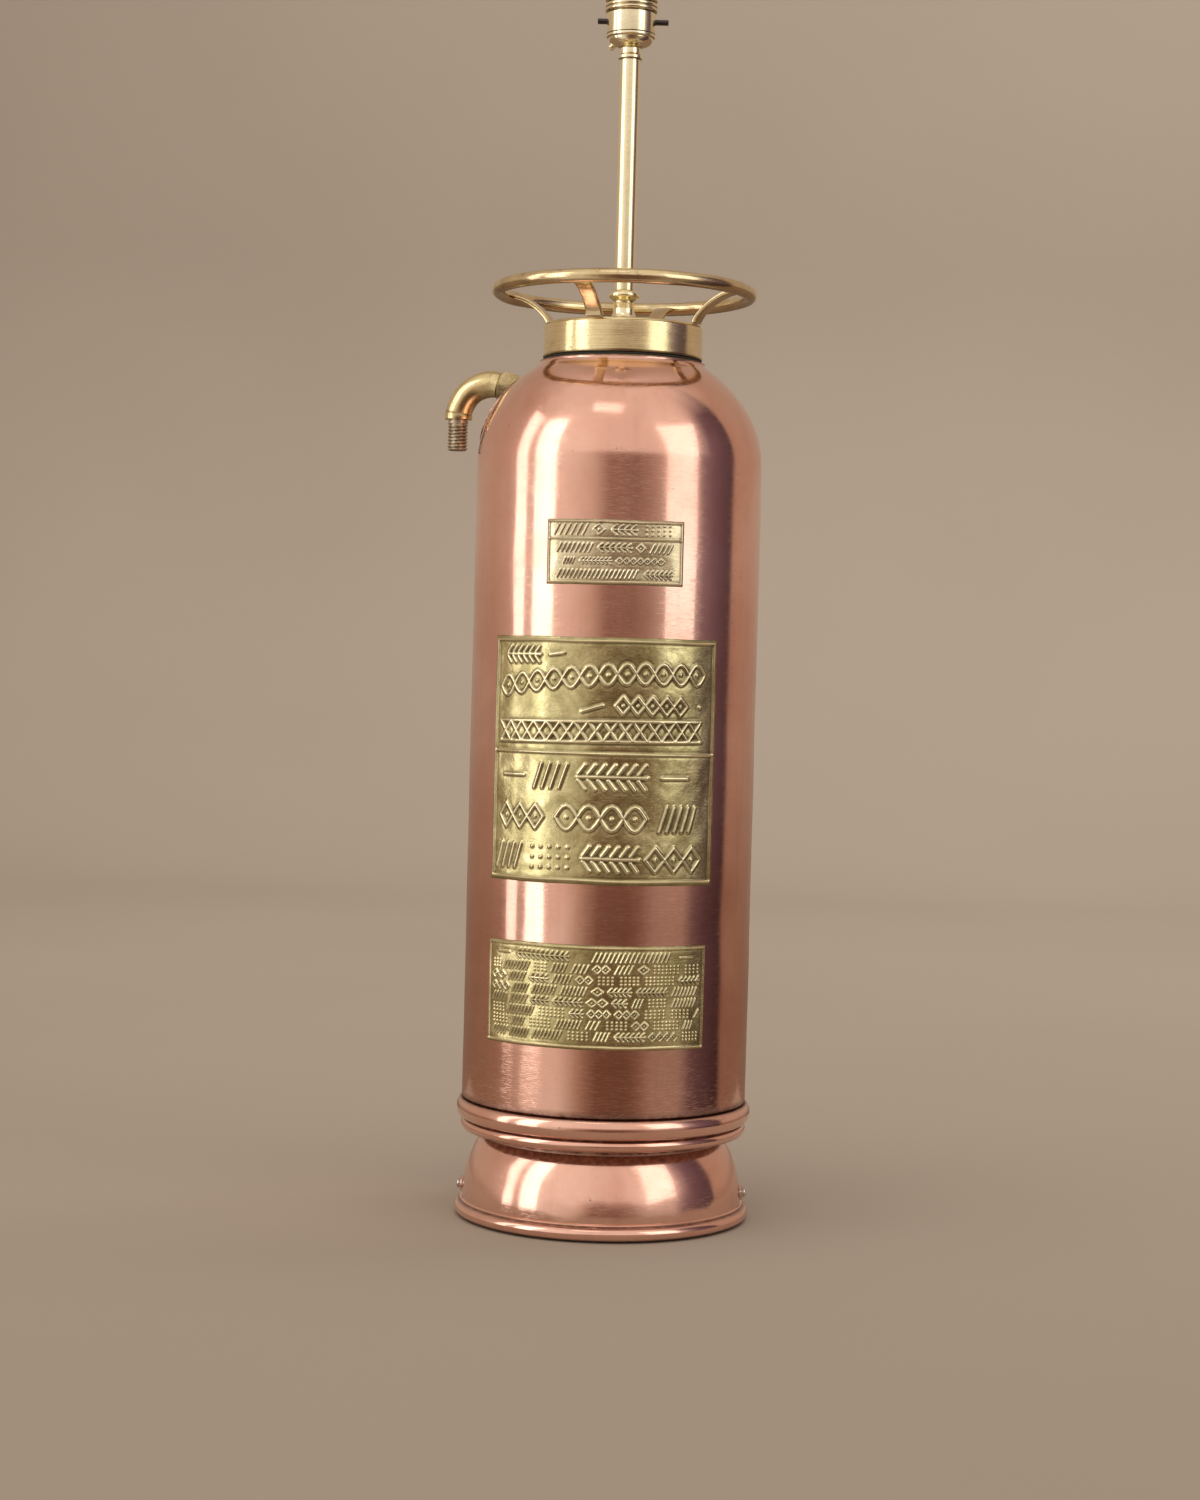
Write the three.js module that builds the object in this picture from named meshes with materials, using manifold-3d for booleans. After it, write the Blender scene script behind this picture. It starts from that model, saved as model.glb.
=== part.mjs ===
// Antique copper and brass fire extinguisher (soda-acid, turn-over type), converted to a table lamp.
//
// Millimetres, +Z up. The origin is the centre of the felt pad's underside, where the lamp stands.
// The front of the object faces -Y. An azimuth is measured from the front, positive towards +X.
// Pieces that touch in the real object stand CLEARANCE apart, so no two solids share any space.

import * as THREE from 'three';
import { mergeVertices } from 'three/addons/utils/BufferGeometryUtils.js';
import Module from 'manifold-3d';

const wasm = await Module();
wasm.setup();

// ---------------------------------------------------------------- driving dimensions

const CLEARANCE = 0.3;
const SEGMENTS = 36;             // sides of the large turned pieces
const SMALL_SEGMENTS = 20;       // sides of the small turned pieces

const TANK_R = 89;               // 7 inch copper tank
const TANK_WALL = 1.5;
const TANK_FOOT_Z = 55.8;        // lower edge of the shell
const TANK_STEP_Z = 74;          // the shell is swaged in below this height, under the foot band
const SWAGE = 2;
const SHOULDER_Z = 470;          // where the elliptical shoulder starts
const SHOULDER_RISE = 76;        // vertical half axis of the shoulder's ellipse
const NECK_OPENING_R = 51;

const NECK_BORE_R = 37;
const NECK_THREAD_R = 44;
const NECK_FLANGE_Z = 534.6;
const NECK_TOP_Z = 551.5;

const CAP_R = 50;
const CAP_BOTTOM_Z = 536.4;
const CAP_TOP_Z = 557.5;
const CAP_PLATE = 5;             // thickness of the cap's top plate

const RING_R = 78.5;             // hand ring, to the centre of its bar
const RING_BAR_R = 4.5;
const RING_Z = 578;
const LEG_AZIMUTHS = { front: -21.6, right: 68.4, rear: 158.4, left: -111.6 };
const LEG_WIDTH = 12;
const LEG_THICKNESS = 3;
const LEG_FOOT_R = 48.4;         // middle of the strip where it stands on the cap
const LEG_HEAD_R = 73.2;         // where it meets the inside of the ring
const LEG_HEAD_Z = 577;

const ROD_R = 5;                 // M10 hollow threaded rod
const ROD_BORE_R = 3.5;
const ROD_PASS_R = 5.3;          // hole that the rod passes through
const ROD_BOTTOM_Z = 541;
const ROD_TOP_Z = 735;
const LOCK_NUT_Z = 547.7;        // middle of the nut's height
const STEM_R = 6.35;             // half-inch brass stem
const STEM_BOTTOM_Z = 579.3;
const STEM_TOP_Z = 722.5;

const HOLDER_Z = 725.3;          // underside of the lampholder's boss
const HOUSING_Z = 738;
const HOUSING_R = 15.3;
const BARREL_Z = 751;            // the housing steps in to the threaded barrel here
const BARREL_R = 14.1;
const BARREL_BORE_R = 11.3;      // bayonet socket for a 22 mm lamp cap
const BARREL_TOP_Z = 789;
const SHADE_RING_R = 16.5;
const SHADE_RING_HEIGHT = 5.9;
const PUSH_BAR_Z = 746;
const PUSH_BAR_R = 1.75;
const PUSH_BAR_LEFT_X = -20.9;
const PUSH_BAR_RIGHT_X = 23.3;
const PLUNGER_X = 4;
const PLUNGER_SHOULDER_Z = 764;
const EARTH_SCREW = { azimuth: -108, down: 28, r: 9.6, z: 732.6 };

const OUTLET_AZIMUTH = -105;
const OUTLET_Z = 521.5;          // highest point of the elbow's centre line
const OUTLET_TILT = 15;          // the outlet leaves the shoulder rising by this many degrees
const OUTLET_TUBE_R = 8.5;
const OUTLET_BORE_R = 5.5;
const OUTLET_TENON_R = 7;        // the elbow is reduced to this inside its collar
const ELBOW_BEND_R = 22;
const ELBOW_LEG_X = 107;         // distance of the elbow's upright leg from the tank's axis
const ELBOW_END_Z = 499;
const ELBOW_RIM_R = 9;           // bead round the elbow's end
const ELBOW_RIM_HEIGHT = 3.4;
const COLLAR_ACROSS = 18;        // across the flats of the hexagon
const SADDLE_WALL = 1.5;
const SADDLE_Z = 503.5;          // middle of the oval patch on the shoulder
const SADDLE_HALF_HEIGHT = 23.5;
const SADDLE_HALF_WIDTH = 22;
const SPIGOT_R = 6.5;
const SPIGOT_BORE_R = 3.5;
const SPIGOT_END_Z = 479.5;
const SPIGOT_PITCH = 2.1;

const SKIRT_CURVE = { start: [87.8, 11], control: [86.8, 36], end: [75.8, 50] };
const SKIRT_WALL = 1.5;
const GROMMET_R = 84.3;
const GROMMET_Z = 31;
const GROMMET_TILT = 13;         // the skirt leans inwards by this many degrees at the cable grommet
const BASE_BOTTOM_Z = 2.3;
const BASE_TOP_Z = 20.3;
const BASE_R = 83.4;
const SCREW_Z = 16.5;
const SCREW_AZIMUTHS = { left: -92, right: 88 };
const SCREW_SHANK_R = 1.9;
const SCREW_TIP_X = 68;
const SKIRT_R_AT_SCREW = 87.6;

const PLATE_INNER_R = TANK_R + CLEARANCE;
const PLATE_OUTER_R = 90.1;
const PLATES = {
  plate_small: { from: -28, to: 26.2, bottom: 393.4, top: 432.3 },
  plate_main: { from: -53, to: 43.4, bottom: 214.6, top: 362.4 },
  plate_directions: { from: -53, to: 41.3, bottom: 115.9, top: 178.5 },
};

// ---------------------------------------------------------------- materials

const FINISHES = {
  copper: { color: 0xb9735a, roughness: 0.25, metalness: 1 },
  brass: { color: 0xc8a45a, roughness: 0.25, metalness: 1 },
  plateBrass: { color: 0x96824a, roughness: 0.35, metalness: 1 },
  darkSteel: { color: 0x5a534c, roughness: 0.45, metalness: 1 },
  steel: { color: 0xb8b8b4, roughness: 0.3, metalness: 1 },
  rubber: { color: 0x1d1b1a, roughness: 0.8, metalness: 0 },
  bakelite: { color: 0x16110f, roughness: 0.35, metalness: 0 },
  insulator: { color: 0xd8d2c4, roughness: 0.5, metalness: 0 },
  wood: { color: 0x6b4a2e, roughness: 0.7, metalness: 0 },
  felt: { color: 0x1f3a2a, roughness: 1, metalness: 0 },
};

const object = new THREE.Group();

function part(name, geometry, finish, parent = object) {
  const mesh = new THREE.Mesh(geometry, new THREE.MeshStandardMaterial(FINISHES[finish]));
  mesh.name = name;
  parent.add(mesh);
  return mesh;
}

// ---------------------------------------------------------------- geometry helpers

const degrees = THREE.MathUtils.degToRad;

// Position-only geometry with shared vertices and no collapsed triangles.
function clean(geometry) {
  const bare = geometry.clone();
  bare.deleteAttribute('normal');
  bare.deleteAttribute('uv');
  const merged = mergeVertices(bare, 1e-4);
  const index = merged.index.array;
  const kept = [];
  for (let i = 0; i < index.length; i += 3) {
    const [a, b, c] = [index[i], index[i + 1], index[i + 2]];
    if (a !== b && b !== c && c !== a) kept.push(a, b, c);
  }
  merged.setIndex(kept);
  return merged;
}

function solid(geometry) {
  const merged = clean(geometry);
  return new wasm.Manifold(new wasm.Mesh({
    numProp: 3,
    vertProperties: new Float32Array(merged.attributes.position.array),
    triVerts: new Uint32Array(merged.index.array),
  }));
}

function fromSolid(manifold) {
  const mesh = manifold.getMesh();
  const geometry = new THREE.BufferGeometry();
  geometry.setAttribute('position', new THREE.Float32BufferAttribute(mesh.vertProperties, 3));
  geometry.setIndex(Array.from(mesh.triVerts));
  return geometry;
}

function cut(geometry, ...tools) {
  return fromSolid(tools.reduce((rest, tool) => rest.subtract(solid(tool)), solid(geometry)));
}

function joined(geometry, other) {
  return fromSolid(solid(geometry).add(solid(other)));
}

function common(geometry, other) {
  return fromSolid(solid(geometry).intersect(solid(other)));
}

// Turns a profile of [radius, height] points round the Z axis. A profile that touches the axis
// starts and ends there, and any other one closes on itself.
function turned(profile, segments = SEGMENTS) {
  const points = profile.map(([r, z]) => new THREE.Vector2(r, z));
  if (THREE.ShapeUtils.area(points) < 0) points.reverse();
  const onAxis = points.filter((p) => p.x === 0).length;
  if (onAxis === 0) points.push(points[0].clone());
  while (onAxis && !(points[0].x === 0 && points.at(-1).x === 0)) points.push(points.shift());
  return clean(new THREE.LatheGeometry(points, segments).rotateX(Math.PI / 2));
}

// Points [radius, height] on an arc of an ellipse, both ends included.
function arc(centreR, centreZ, halfR, halfZ, fromDegrees, toDegrees, steps) {
  return Array.from({ length: steps + 1 }, (_, i) => {
    const angle = degrees(fromDegrees + ((toDegrees - fromDegrees) * i) / steps);
    return [centreR + halfR * Math.cos(angle), centreZ + halfZ * Math.sin(angle)];
  });
}

function bezier(start, control, end, steps) {
  const curve = new THREE.QuadraticBezierCurve(
    new THREE.Vector2(...start), new THREE.Vector2(...control), new THREE.Vector2(...end));
  return curve.getPoints(steps).map((p) => [p.x, p.y]);
}

function tube(outerR, innerR, bottom, top, segments = SMALL_SEGMENTS) {
  return turned([[outerR, bottom], [outerR, top], [innerR, top], [innerR, bottom]], segments);
}

// A cylinder along +X, +Y or +Z whose axis passes through the given centre.
function rod(radius, length, axis, centre, segments = SMALL_SEGMENTS) {
  const geometry = new THREE.CylinderGeometry(radius, radius, length, segments);
  if (axis === 'x') geometry.rotateZ(-Math.PI / 2);
  if (axis === 'z') geometry.rotateX(Math.PI / 2);
  return geometry.translate(...centre);
}

function box(sizeX, sizeY, sizeZ, centre) {
  return new THREE.BoxGeometry(sizeX, sizeY, sizeZ).translate(...centre);
}

// Turns a group so that its local +X points along an azimuth.
function atAzimuth(azimuth) {
  const group = new THREE.Group();
  group.rotation.z = degrees(azimuth - 90);
  object.add(group);
  return group;
}

// Turns a geometry in the same way.
const toAzimuth = (geometry, azimuth) => geometry.rotateZ(degrees(azimuth - 90));

// Profile of the tank's outside, from its axis to below the shoulder, moved outwards by an offset.
function shoulderProfile(offset, lowest, steps = 14) {
  const halfR = TANK_R + offset;
  const halfZ = SHOULDER_RISE + offset;
  return [[0, lowest], [halfR, lowest], ...arc(0, SHOULDER_Z, halfR, halfZ, 0, 90, steps)
    .map(([r, z], i) => [i === steps ? 0 : r, z])];
}

// ---------------------------------------------------------------- tank

const BEND_START_X = ELBOW_LEG_X - ELBOW_BEND_R * (1 + Math.sin(degrees(OUTLET_TILT)));
const BEND_START_Z = OUTLET_Z - ELBOW_BEND_R * (1 - Math.cos(degrees(OUTLET_TILT)));

// Moves a geometry made along +X, with its origin where the elbow's bend starts, onto the tilted axis.
function onOutletAxis(geometry) {
  return geometry.rotateY(-degrees(OUTLET_TILT)).translate(BEND_START_X, 0, BEND_START_Z);
}

// The hole through the saddle and the shell.
function outletPort() {
  return onOutletAxis(rod(OUTLET_BORE_R, 34, 'x', [-17, 0, 0]));
}

function tankShell() {
  const inner = TANK_R - TANK_WALL;
  const openingAngle = (half) => THREE.MathUtils.radToDeg(Math.acos(NECK_OPENING_R / half));
  const outside = arc(0, SHOULDER_Z, TANK_R, SHOULDER_RISE, 0, openingAngle(TANK_R), 7);
  const inside = arc(0, SHOULDER_Z, inner, SHOULDER_RISE - TANK_WALL, openingAngle(inner), 0, 7);
  const shell = turned([
    [TANK_R - SWAGE, TANK_FOOT_Z], [TANK_R - SWAGE, TANK_STEP_Z], [TANK_R, TANK_STEP_Z + 1.5],
    ...outside, ...inside,
    [inner, TANK_STEP_Z + 1.5], [inner - SWAGE, TANK_STEP_Z], [inner - SWAGE, TANK_FOOT_Z],
  ]);
  return cut(shell, toAzimuth(outletPort(), OUTLET_AZIMUTH));
}

// Pan pressed upwards against the pressure, with its rim turned down and a hole for the lamp's cable.
function tankBottom() {
  const rimR = TANK_R - SWAGE - TANK_WALL - CLEARANCE;
  const cableHoleR = 6;
  return turned([
    [rimR, 56], [rimR, 70], [70, 74.6], [45, 78.2], [cableHoleR, 80],
    [cableHoleR, 78.4], [45, 76.6], [69.6, 73], [rimR - 1.6, 68.8], [rimR - 1.6, 56],
  ]);
}

// Two rolled beads with a lip that closes under the shell.
function footBand() {
  const innerR = TANK_R - SWAGE + CLEARANCE;
  return turned([
    [innerR, 73.4], [89.2, 73.7],
    ...arc(88.4, 67.7, 3.8, 6, 70, -70, 5).slice(1),
    [88.5, 61.3],
    ...arc(86, 57.6, 3.4, 3.6, 60, -60, 4),
    [86, 54], [72, 54], [72, 55.4], [innerR, 55.4],
  ].reverse());
}

function footSkirt() {
  const { start, control, end } = SKIRT_CURVE;
  const shift = ([r, z]) => [r - SKIRT_WALL, z];
  const outside = bezier(start, control, end, 5);
  const inside = bezier(shift(start), shift(control), shift(end), 5).reverse();
  const skirt = turned([
    ...arc(88.1, 4.8, 4.2, 4.2, -180, 72, 7), [88.7, 10.4],
    ...outside, [75.8, 53.7], [74.3, 53.7], ...inside, [86.3, 8.6],
  ]);
  const holes = Object.values(SCREW_AZIMUTHS)
    .map((azimuth) => toAzimuth(rod(2.3, 20, 'x', [86, 0, SCREW_Z], 12), azimuth));
  return cut(skirt, ...holes, placedGrommet(rod(6.3, 24, 'x', [0, 0, 0], 20)));
}

// The cable grommet is made along +X about the skirt's surface point, then tilted and put at the back.
function placedGrommet(geometry) {
  return toAzimuth(geometry.rotateY(degrees(-GROMMET_TILT)).translate(GROMMET_R, 0, GROMMET_Z), 180);
}

function cableGrommet() {
  const boreR = 4.5;
  const barrelR = 6;
  const profile = [
    [boreR, -4.5], [barrelR, -4.5], [barrelR, 0.6], [8.5, 0.6], [8.5, 1.6], [7.2, 3], [boreR, 3],
  ];
  return placedGrommet(turned(profile, SMALL_SEGMENTS).rotateY(Math.PI / 2));
}

part('tank_shell', tankShell(), 'copper');
part('tank_bottom', tankBottom(), 'copper');
part('foot_band', footBand(), 'copper');
part('foot_skirt', footSkirt(), 'copper');
part('cable_grommet', cableGrommet(), 'rubber');

// ---------------------------------------------------------------- wooden base and its screws

function footScrew() {
  const headX = SKIRT_R_AT_SCREW + 2.2;
  const dome = arc(0, headX, 3.1, 2, 0, 90, 3).map(([r, z], i) => [i === 3 ? 0 : r, z]);
  return turned([[0, SCREW_TIP_X], [SCREW_SHANK_R, SCREW_TIP_X + 3], [SCREW_SHANK_R, headX - 0.2],
    [3.1, headX - 0.2], ...dome], 14).rotateY(Math.PI / 2).translate(0, 0, SCREW_Z);
}

function footWasher() {
  const face = SKIRT_R_AT_SCREW + CLEARANCE;
  return turned([[2.2, face], [5, face], [3.9, face + 1.3], [2.2, face + 1.3]], 16)
    .rotateY(Math.PI / 2).translate(0, 0, SCREW_Z);
}

function baseDisc() {
  const middle = (BASE_TOP_Z + BASE_BOTTOM_Z) / 2;
  const disc = rod(BASE_R, BASE_TOP_Z - BASE_BOTTOM_Z, 'z', [0, 0, middle], SEGMENTS);
  const pilot = SCREW_SHANK_R + CLEARANCE;
  const holes = Object.values(SCREW_AZIMUTHS)
    .map((azimuth) => toAzimuth(rod(pilot, 30, 'x', [SCREW_TIP_X + 14.4, 0, SCREW_Z], 12), azimuth));
  return cut(disc, ...holes);
}

part('base_disc', baseDisc(), 'wood');
part('felt_pad', clean(rod(82, 2, 'z', [0, 0, 1], SEGMENTS)), 'felt');
for (const [side, azimuth] of Object.entries(SCREW_AZIMUTHS)) {
  const group = atAzimuth(azimuth);
  part(`foot_screw_${side}`, footScrew(), 'steel', group);
  part(`foot_washer_${side}`, footWasher(), 'copper', group);
}

// ---------------------------------------------------------------- neck, gasket and screw cap

function neckRing() {
  return turned([[NECK_BORE_R, 524], [50.6, 524], [50.6, NECK_FLANGE_Z], [NECK_THREAD_R, NECK_FLANGE_Z],
    [NECK_THREAD_R, NECK_TOP_Z], [NECK_BORE_R, NECK_TOP_Z]]);
}

function screwCap() {
  const threadR = NECK_THREAD_R + 0.4;
  const plateZ = CAP_TOP_Z - CAP_PLATE;
  const chamfer = 0.8;
  return turned([
    [threadR, CAP_BOTTOM_Z], [CAP_R, CAP_BOTTOM_Z], [CAP_R, CAP_TOP_Z - chamfer],
    [CAP_R - chamfer, CAP_TOP_Z], [ROD_PASS_R, CAP_TOP_Z], [ROD_PASS_R, plateZ], [threadR, plateZ],
  ]);
}

function capGasket() {
  const [bottom, top] = [NECK_FLANGE_Z + CLEARANCE, CAP_BOTTOM_Z - CLEARANCE];
  return tube(CAP_R - 0.5, NECK_THREAD_R + 0.5, bottom, top, SEGMENTS);
}

part('neck_ring', neckRing(), 'brass');
part('cap_gasket', capGasket(), 'rubber');
part('screw_cap', screwCap(), 'brass');

// ---------------------------------------------------------------- legs and hand ring

// A strip of brass that stands on the cap's edge and curves outwards to the inside of the ring.
function capLeg() {
  const footZ = CAP_TOP_Z + CLEARANCE;
  const path = new THREE.CubicBezierCurve(
    new THREE.Vector2(LEG_FOOT_R, footZ), new THREE.Vector2(LEG_FOOT_R, footZ + 4.7),
    new THREE.Vector2(61, LEG_HEAD_Z - 1.5), new THREE.Vector2(LEG_HEAD_R, LEG_HEAD_Z));
  const steps = 12;
  const side = (sign) => Array.from({ length: steps + 1 }, (_, i) => {
    const tangent = path.getTangentAt(i / steps);
    const offset = new THREE.Vector2(-tangent.y, tangent.x).multiplyScalar((sign * LEG_THICKNESS) / 2);
    return path.getPointAt(i / steps).add(offset);
  });
  const outline = new THREE.Shape([...side(-1), ...side(1).reverse()]);
  return clean(new THREE.ExtrudeGeometry(outline, { depth: LEG_WIDTH, bevelEnabled: false })
    .rotateX(Math.PI / 2).translate(0, LEG_WIDTH / 2, 0));
}

for (const [side, azimuth] of Object.entries(LEG_AZIMUTHS)) {
  part(`cap_leg_${side}`, capLeg(), 'brass', atAzimuth(azimuth));
}
const ring = new THREE.TorusGeometry(RING_R, RING_BAR_R, 8, SEGMENTS).translate(0, 0, RING_Z);
part('hand_ring', clean(ring), 'brass');

// ---------------------------------------------------------------- stem

function stemBase() {
  return turned([
    [ROD_PASS_R, CAP_TOP_Z + CLEARANCE], [12, CAP_TOP_Z + CLEARANCE], [12, 559.6],
    ...bezier([11, 560.4], [7, 562], [6.5, 569], 3),
    [6.5, 573.4], [9.6, 575.4], [9.6, 577.6], [8.2, 579], [ROD_PASS_R, 579],
  ], SMALL_SEGMENTS);
}

function lockNut() {
  const [acrossCorners, height] = [18.5, 5.6];
  return cut(rod(acrossCorners / 2, height, 'z', [0, 0, LOCK_NUT_Z], 6),
    rod(ROD_PASS_R, height + 2, 'z', [0, 0, LOCK_NUT_Z]));
}

part('stem_base', stemBase(), 'brass');
part('stem_tube', tube(STEM_R, ROD_PASS_R, STEM_BOTTOM_Z, STEM_TOP_Z), 'brass');
part('stem_washer', tube(7.5, ROD_PASS_R, STEM_TOP_Z + CLEARANCE, HOLDER_Z - CLEARANCE), 'brass');
part('threaded_rod', tube(ROD_R, ROD_BORE_R, ROD_BOTTOM_Z, ROD_TOP_Z), 'brass');
part('lock_washer', tube(10, ROD_PASS_R, LOCK_NUT_Z + 3.1, LOCK_NUT_Z + 4.5), 'steel');
part('lock_nut', lockNut(), 'brass');

// ---------------------------------------------------------------- lampholder

function placedEarthScrew(geometry) {
  const { azimuth, down, r, z } = EARTH_SCREW;
  return toAzimuth(geometry.rotateY(degrees(down)).translate(r, 0, z), azimuth);
}

function earthScrew() {
  const profile = [[0, -1.6], [1.2, -1.6], [1.2, 1.6], [2, 1.6], [2, 4.6], [0, 4.6]];
  return placedEarthScrew(turned(profile, 12).rotateY(Math.PI / 2));
}

// Boss and domed cup, hollow inside, with the hole of the earth screw in its flank.
function lampholderDome() {
  const cup = turned([
    [ROD_PASS_R, HOLDER_Z], [6.5, HOLDER_Z], [6.5, 729.6], [7.6, 730],
    ...bezier([8.4, 730.4], [13.8, 731.4], [14.3, 735.6], 4), [HOUSING_R, 736.2], [HOUSING_R, 737.7],
    [12.6, 737.7], ...bezier([12.6, 736.2], [12, 733.4], [8, 732.6], 3), [ROD_PASS_R, 732.4],
  ], SMALL_SEGMENTS);
  return cut(cup, placedEarthScrew(rod(1.5, 8, 'x', [0, 0, 0], 12)),
    placedEarthScrew(rod(2.3, 3.4, 'x', [3.1, 0, 0], 12)));
}

// Bayonet slot: a straight entry from the rim, a side leg and a short notch that holds the lamp's pin.
function bayonetSlot(side) {
  const width = 2.8;
  const depth = 9;
  const y = side * BARREL_R;
  const wall = 8;
  const pin = side * 4.2;
  return [
    box(width, wall, depth, [0, y, BARREL_TOP_Z + 1 - depth / 2]),
    box(width + 4.2, wall, width, [pin / 2, y, BARREL_TOP_Z - depth + 1]),
    box(width, wall, width + 1.4, [pin, y, BARREL_TOP_Z - depth + 1.7]),
  ];
}

function lampholderHousing() {
  const shell = turned([
    [13.4, HOUSING_Z], [HOUSING_R, HOUSING_Z], [HOUSING_R, BARREL_Z - 0.4], [BARREL_R, BARREL_Z],
    [BARREL_R, BARREL_TOP_Z], [BARREL_BORE_R, BARREL_TOP_Z], [BARREL_BORE_R, BARREL_Z + 0.6],
    [13.4, BARREL_Z - 1],
  ], SMALL_SEGMENTS);
  const barHole = rod(PUSH_BAR_R + 0.35, 50, 'x', [0, 0, PUSH_BAR_Z], 12);
  return cut(shell, barHole, ...bayonetSlot(1), ...bayonetSlot(-1));
}

// Moulded block with the tunnel of the push bar and the two wells of the contact plungers.
function insulatorBlock() {
  const profile = [[0, 739], [13, 739], [13, 749.4], [10.9, 751.6], [10.9, 769], [0, 769]];
  const block = turned(profile, SMALL_SEGMENTS);
  const wells = [-1, 1].flatMap((side) => [
    rod(3, 14, 'z', [side * PLUNGER_X, 0, 759], 12),
    rod(2.3, 12, 'z', [side * PLUNGER_X, 0, 768], 12),
  ]);
  return cut(block, rod(PUSH_BAR_R + 0.35, 50, 'x', [0, 0, PUSH_BAR_Z], 12), ...wells);
}

function contactPlunger(x) {
  const [bottom, shoulder] = [PLUNGER_SHOULDER_Z - 1.6, PLUNGER_SHOULDER_Z + 1];
  const profile = [
    [0, bottom], [2.7, bottom], [2.7, shoulder], [2, shoulder], [2, 771.2], [1.2, 772], [0, 772],
  ];
  return turned(profile, 12).translate(x, 0, 0);
}

// Closed-coil spring between the well's floor and the plunger's shoulder.
function contactSpring(x) {
  const [coilR, wireR, turns] = [2, 0.35, 4];
  const bottom = 752 + CLEARANCE + wireR;
  const height = PLUNGER_SHOULDER_Z - 1.6 - CLEARANCE - wireR - bottom;
  class Helix extends THREE.Curve {
    getPoint(t, target = new THREE.Vector3()) {
      const angle = 2 * Math.PI * turns * t;
      return target.set(x + coilR * Math.cos(angle), coilR * Math.sin(angle), bottom + height * t);
    }
  }
  const section = new THREE.Shape();
  section.absarc(0, 0, wireR, 0, 2 * Math.PI, false);
  const extrusion = { steps: 7 * turns, curveSegments: 3, extrudePath: new Helix() };
  return clean(new THREE.ExtrudeGeometry(section, extrusion));
}

// Ring with a ridged edge that clamps a lampshade.
function shadeRing(bottom) {
  const innerR = BARREL_R + CLEARANCE;
  const [grooveR, ridgePitch] = [15.5, 3];
  const top = bottom + SHADE_RING_HEIGHT;
  const edge = [bottom, bottom + ridgePitch].flatMap((z) => [
    [SHADE_RING_R, z + 0.7], [SHADE_RING_R, z + 1.9], [grooveR, z + 2.4],
  ]);
  const profile = [[innerR, bottom], [grooveR, bottom], ...edge, [grooveR, top], [innerR, top]];
  return turned(profile, SMALL_SEGMENTS);
}

part('lampholder_dome', lampholderDome(), 'brass');
part('earth_screw', earthScrew(), 'brass');
part('lampholder_housing', lampholderHousing(), 'brass');
part('insulator_block', insulatorBlock(), 'insulator');
part('switch_push_bar', clean(rod(PUSH_BAR_R, PUSH_BAR_RIGHT_X - PUSH_BAR_LEFT_X, 'x',
  [(PUSH_BAR_RIGHT_X + PUSH_BAR_LEFT_X) / 2, 0, PUSH_BAR_Z], 16)), 'bakelite');
for (const [side, x] of [['left', -PLUNGER_X], ['right', PLUNGER_X]]) {
  part(`contact_plunger_${side}`, contactPlunger(x), 'brass');
  part(`contact_spring_${side}`, contactSpring(x), 'steel');
}
part('shade_ring_lower', shadeRing(BARREL_Z + CLEARANCE), 'brass');
part('shade_ring_upper', shadeRing(BARREL_Z + 2 * CLEARANCE + SHADE_RING_HEIGHT), 'brass');

// ---------------------------------------------------------------- curved plates

function curvedPlate({ from, to, bottom, top }) {
  const [start, end] = [degrees(from - 90), degrees(to - 90)];
  const shape = new THREE.Shape();
  shape.absarc(0, 0, PLATE_OUTER_R, start, end, false);
  shape.absarc(0, 0, PLATE_INNER_R, end, start, true);
  const extrusion = { depth: top - bottom, bevelEnabled: false, curveSegments: 14 };
  return clean(new THREE.ExtrudeGeometry(shape, extrusion).translate(0, 0, bottom));
}

for (const [name, plate] of Object.entries(PLATES)) part(name, curvedPlate(plate), 'plateBrass');

// ---------------------------------------------------------------- outlet
// Made with the outlet pointing along +X, then turned to its azimuth.

const outlet = atAzimuth(OUTLET_AZIMUTH);

// A turned solid whose flat sides line up with the shell's once the outlet stands at its azimuth.
const roundTank = (profile) => turned(profile).rotateZ(-outlet.rotation.z);

// Everything inside the saddle's outer face, which the collar and the elbow are cut back to.
const insideSaddle = () => roundTank(shoulderProfile(SADDLE_WALL + 2 * CLEARANCE, 440));

function outletSaddle() {
  const low = 470;
  const [outer, inner] = [shoulderProfile(SADDLE_WALL + CLEARANCE, low), shoulderProfile(CLEARANCE, low)];
  const skin = roundTank([...outer.slice(1), ...inner.slice(1).reverse()]);
  const oval = new THREE.Shape();
  oval.absellipse(0, 0, SADDLE_HALF_HEIGHT, SADDLE_HALF_WIDTH, 0, 2 * Math.PI, false, 0);
  const prism = new THREE.ExtrudeGeometry(oval, { depth: 80, bevelEnabled: false, curveSegments: 14 })
    .rotateY(Math.PI / 2).translate(40, 0, SADDLE_Z);
  return cut(common(skin, prism), outletPort());
}

function outletCollar() {
  const length = 24;
  const centre = [-length / 2 - CLEARANCE, 0, 0];
  const hexagon = rod(COLLAR_ACROSS / Math.sqrt(3), length, 'x', centre, 6).rotateX(Math.PI / 6);
  const hole = rod(OUTLET_TENON_R + CLEARANCE, 60, 'x', centre);
  return cut(onOutletAxis(hexagon), onOutletAxis(hole), insideSaddle());
}

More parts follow.
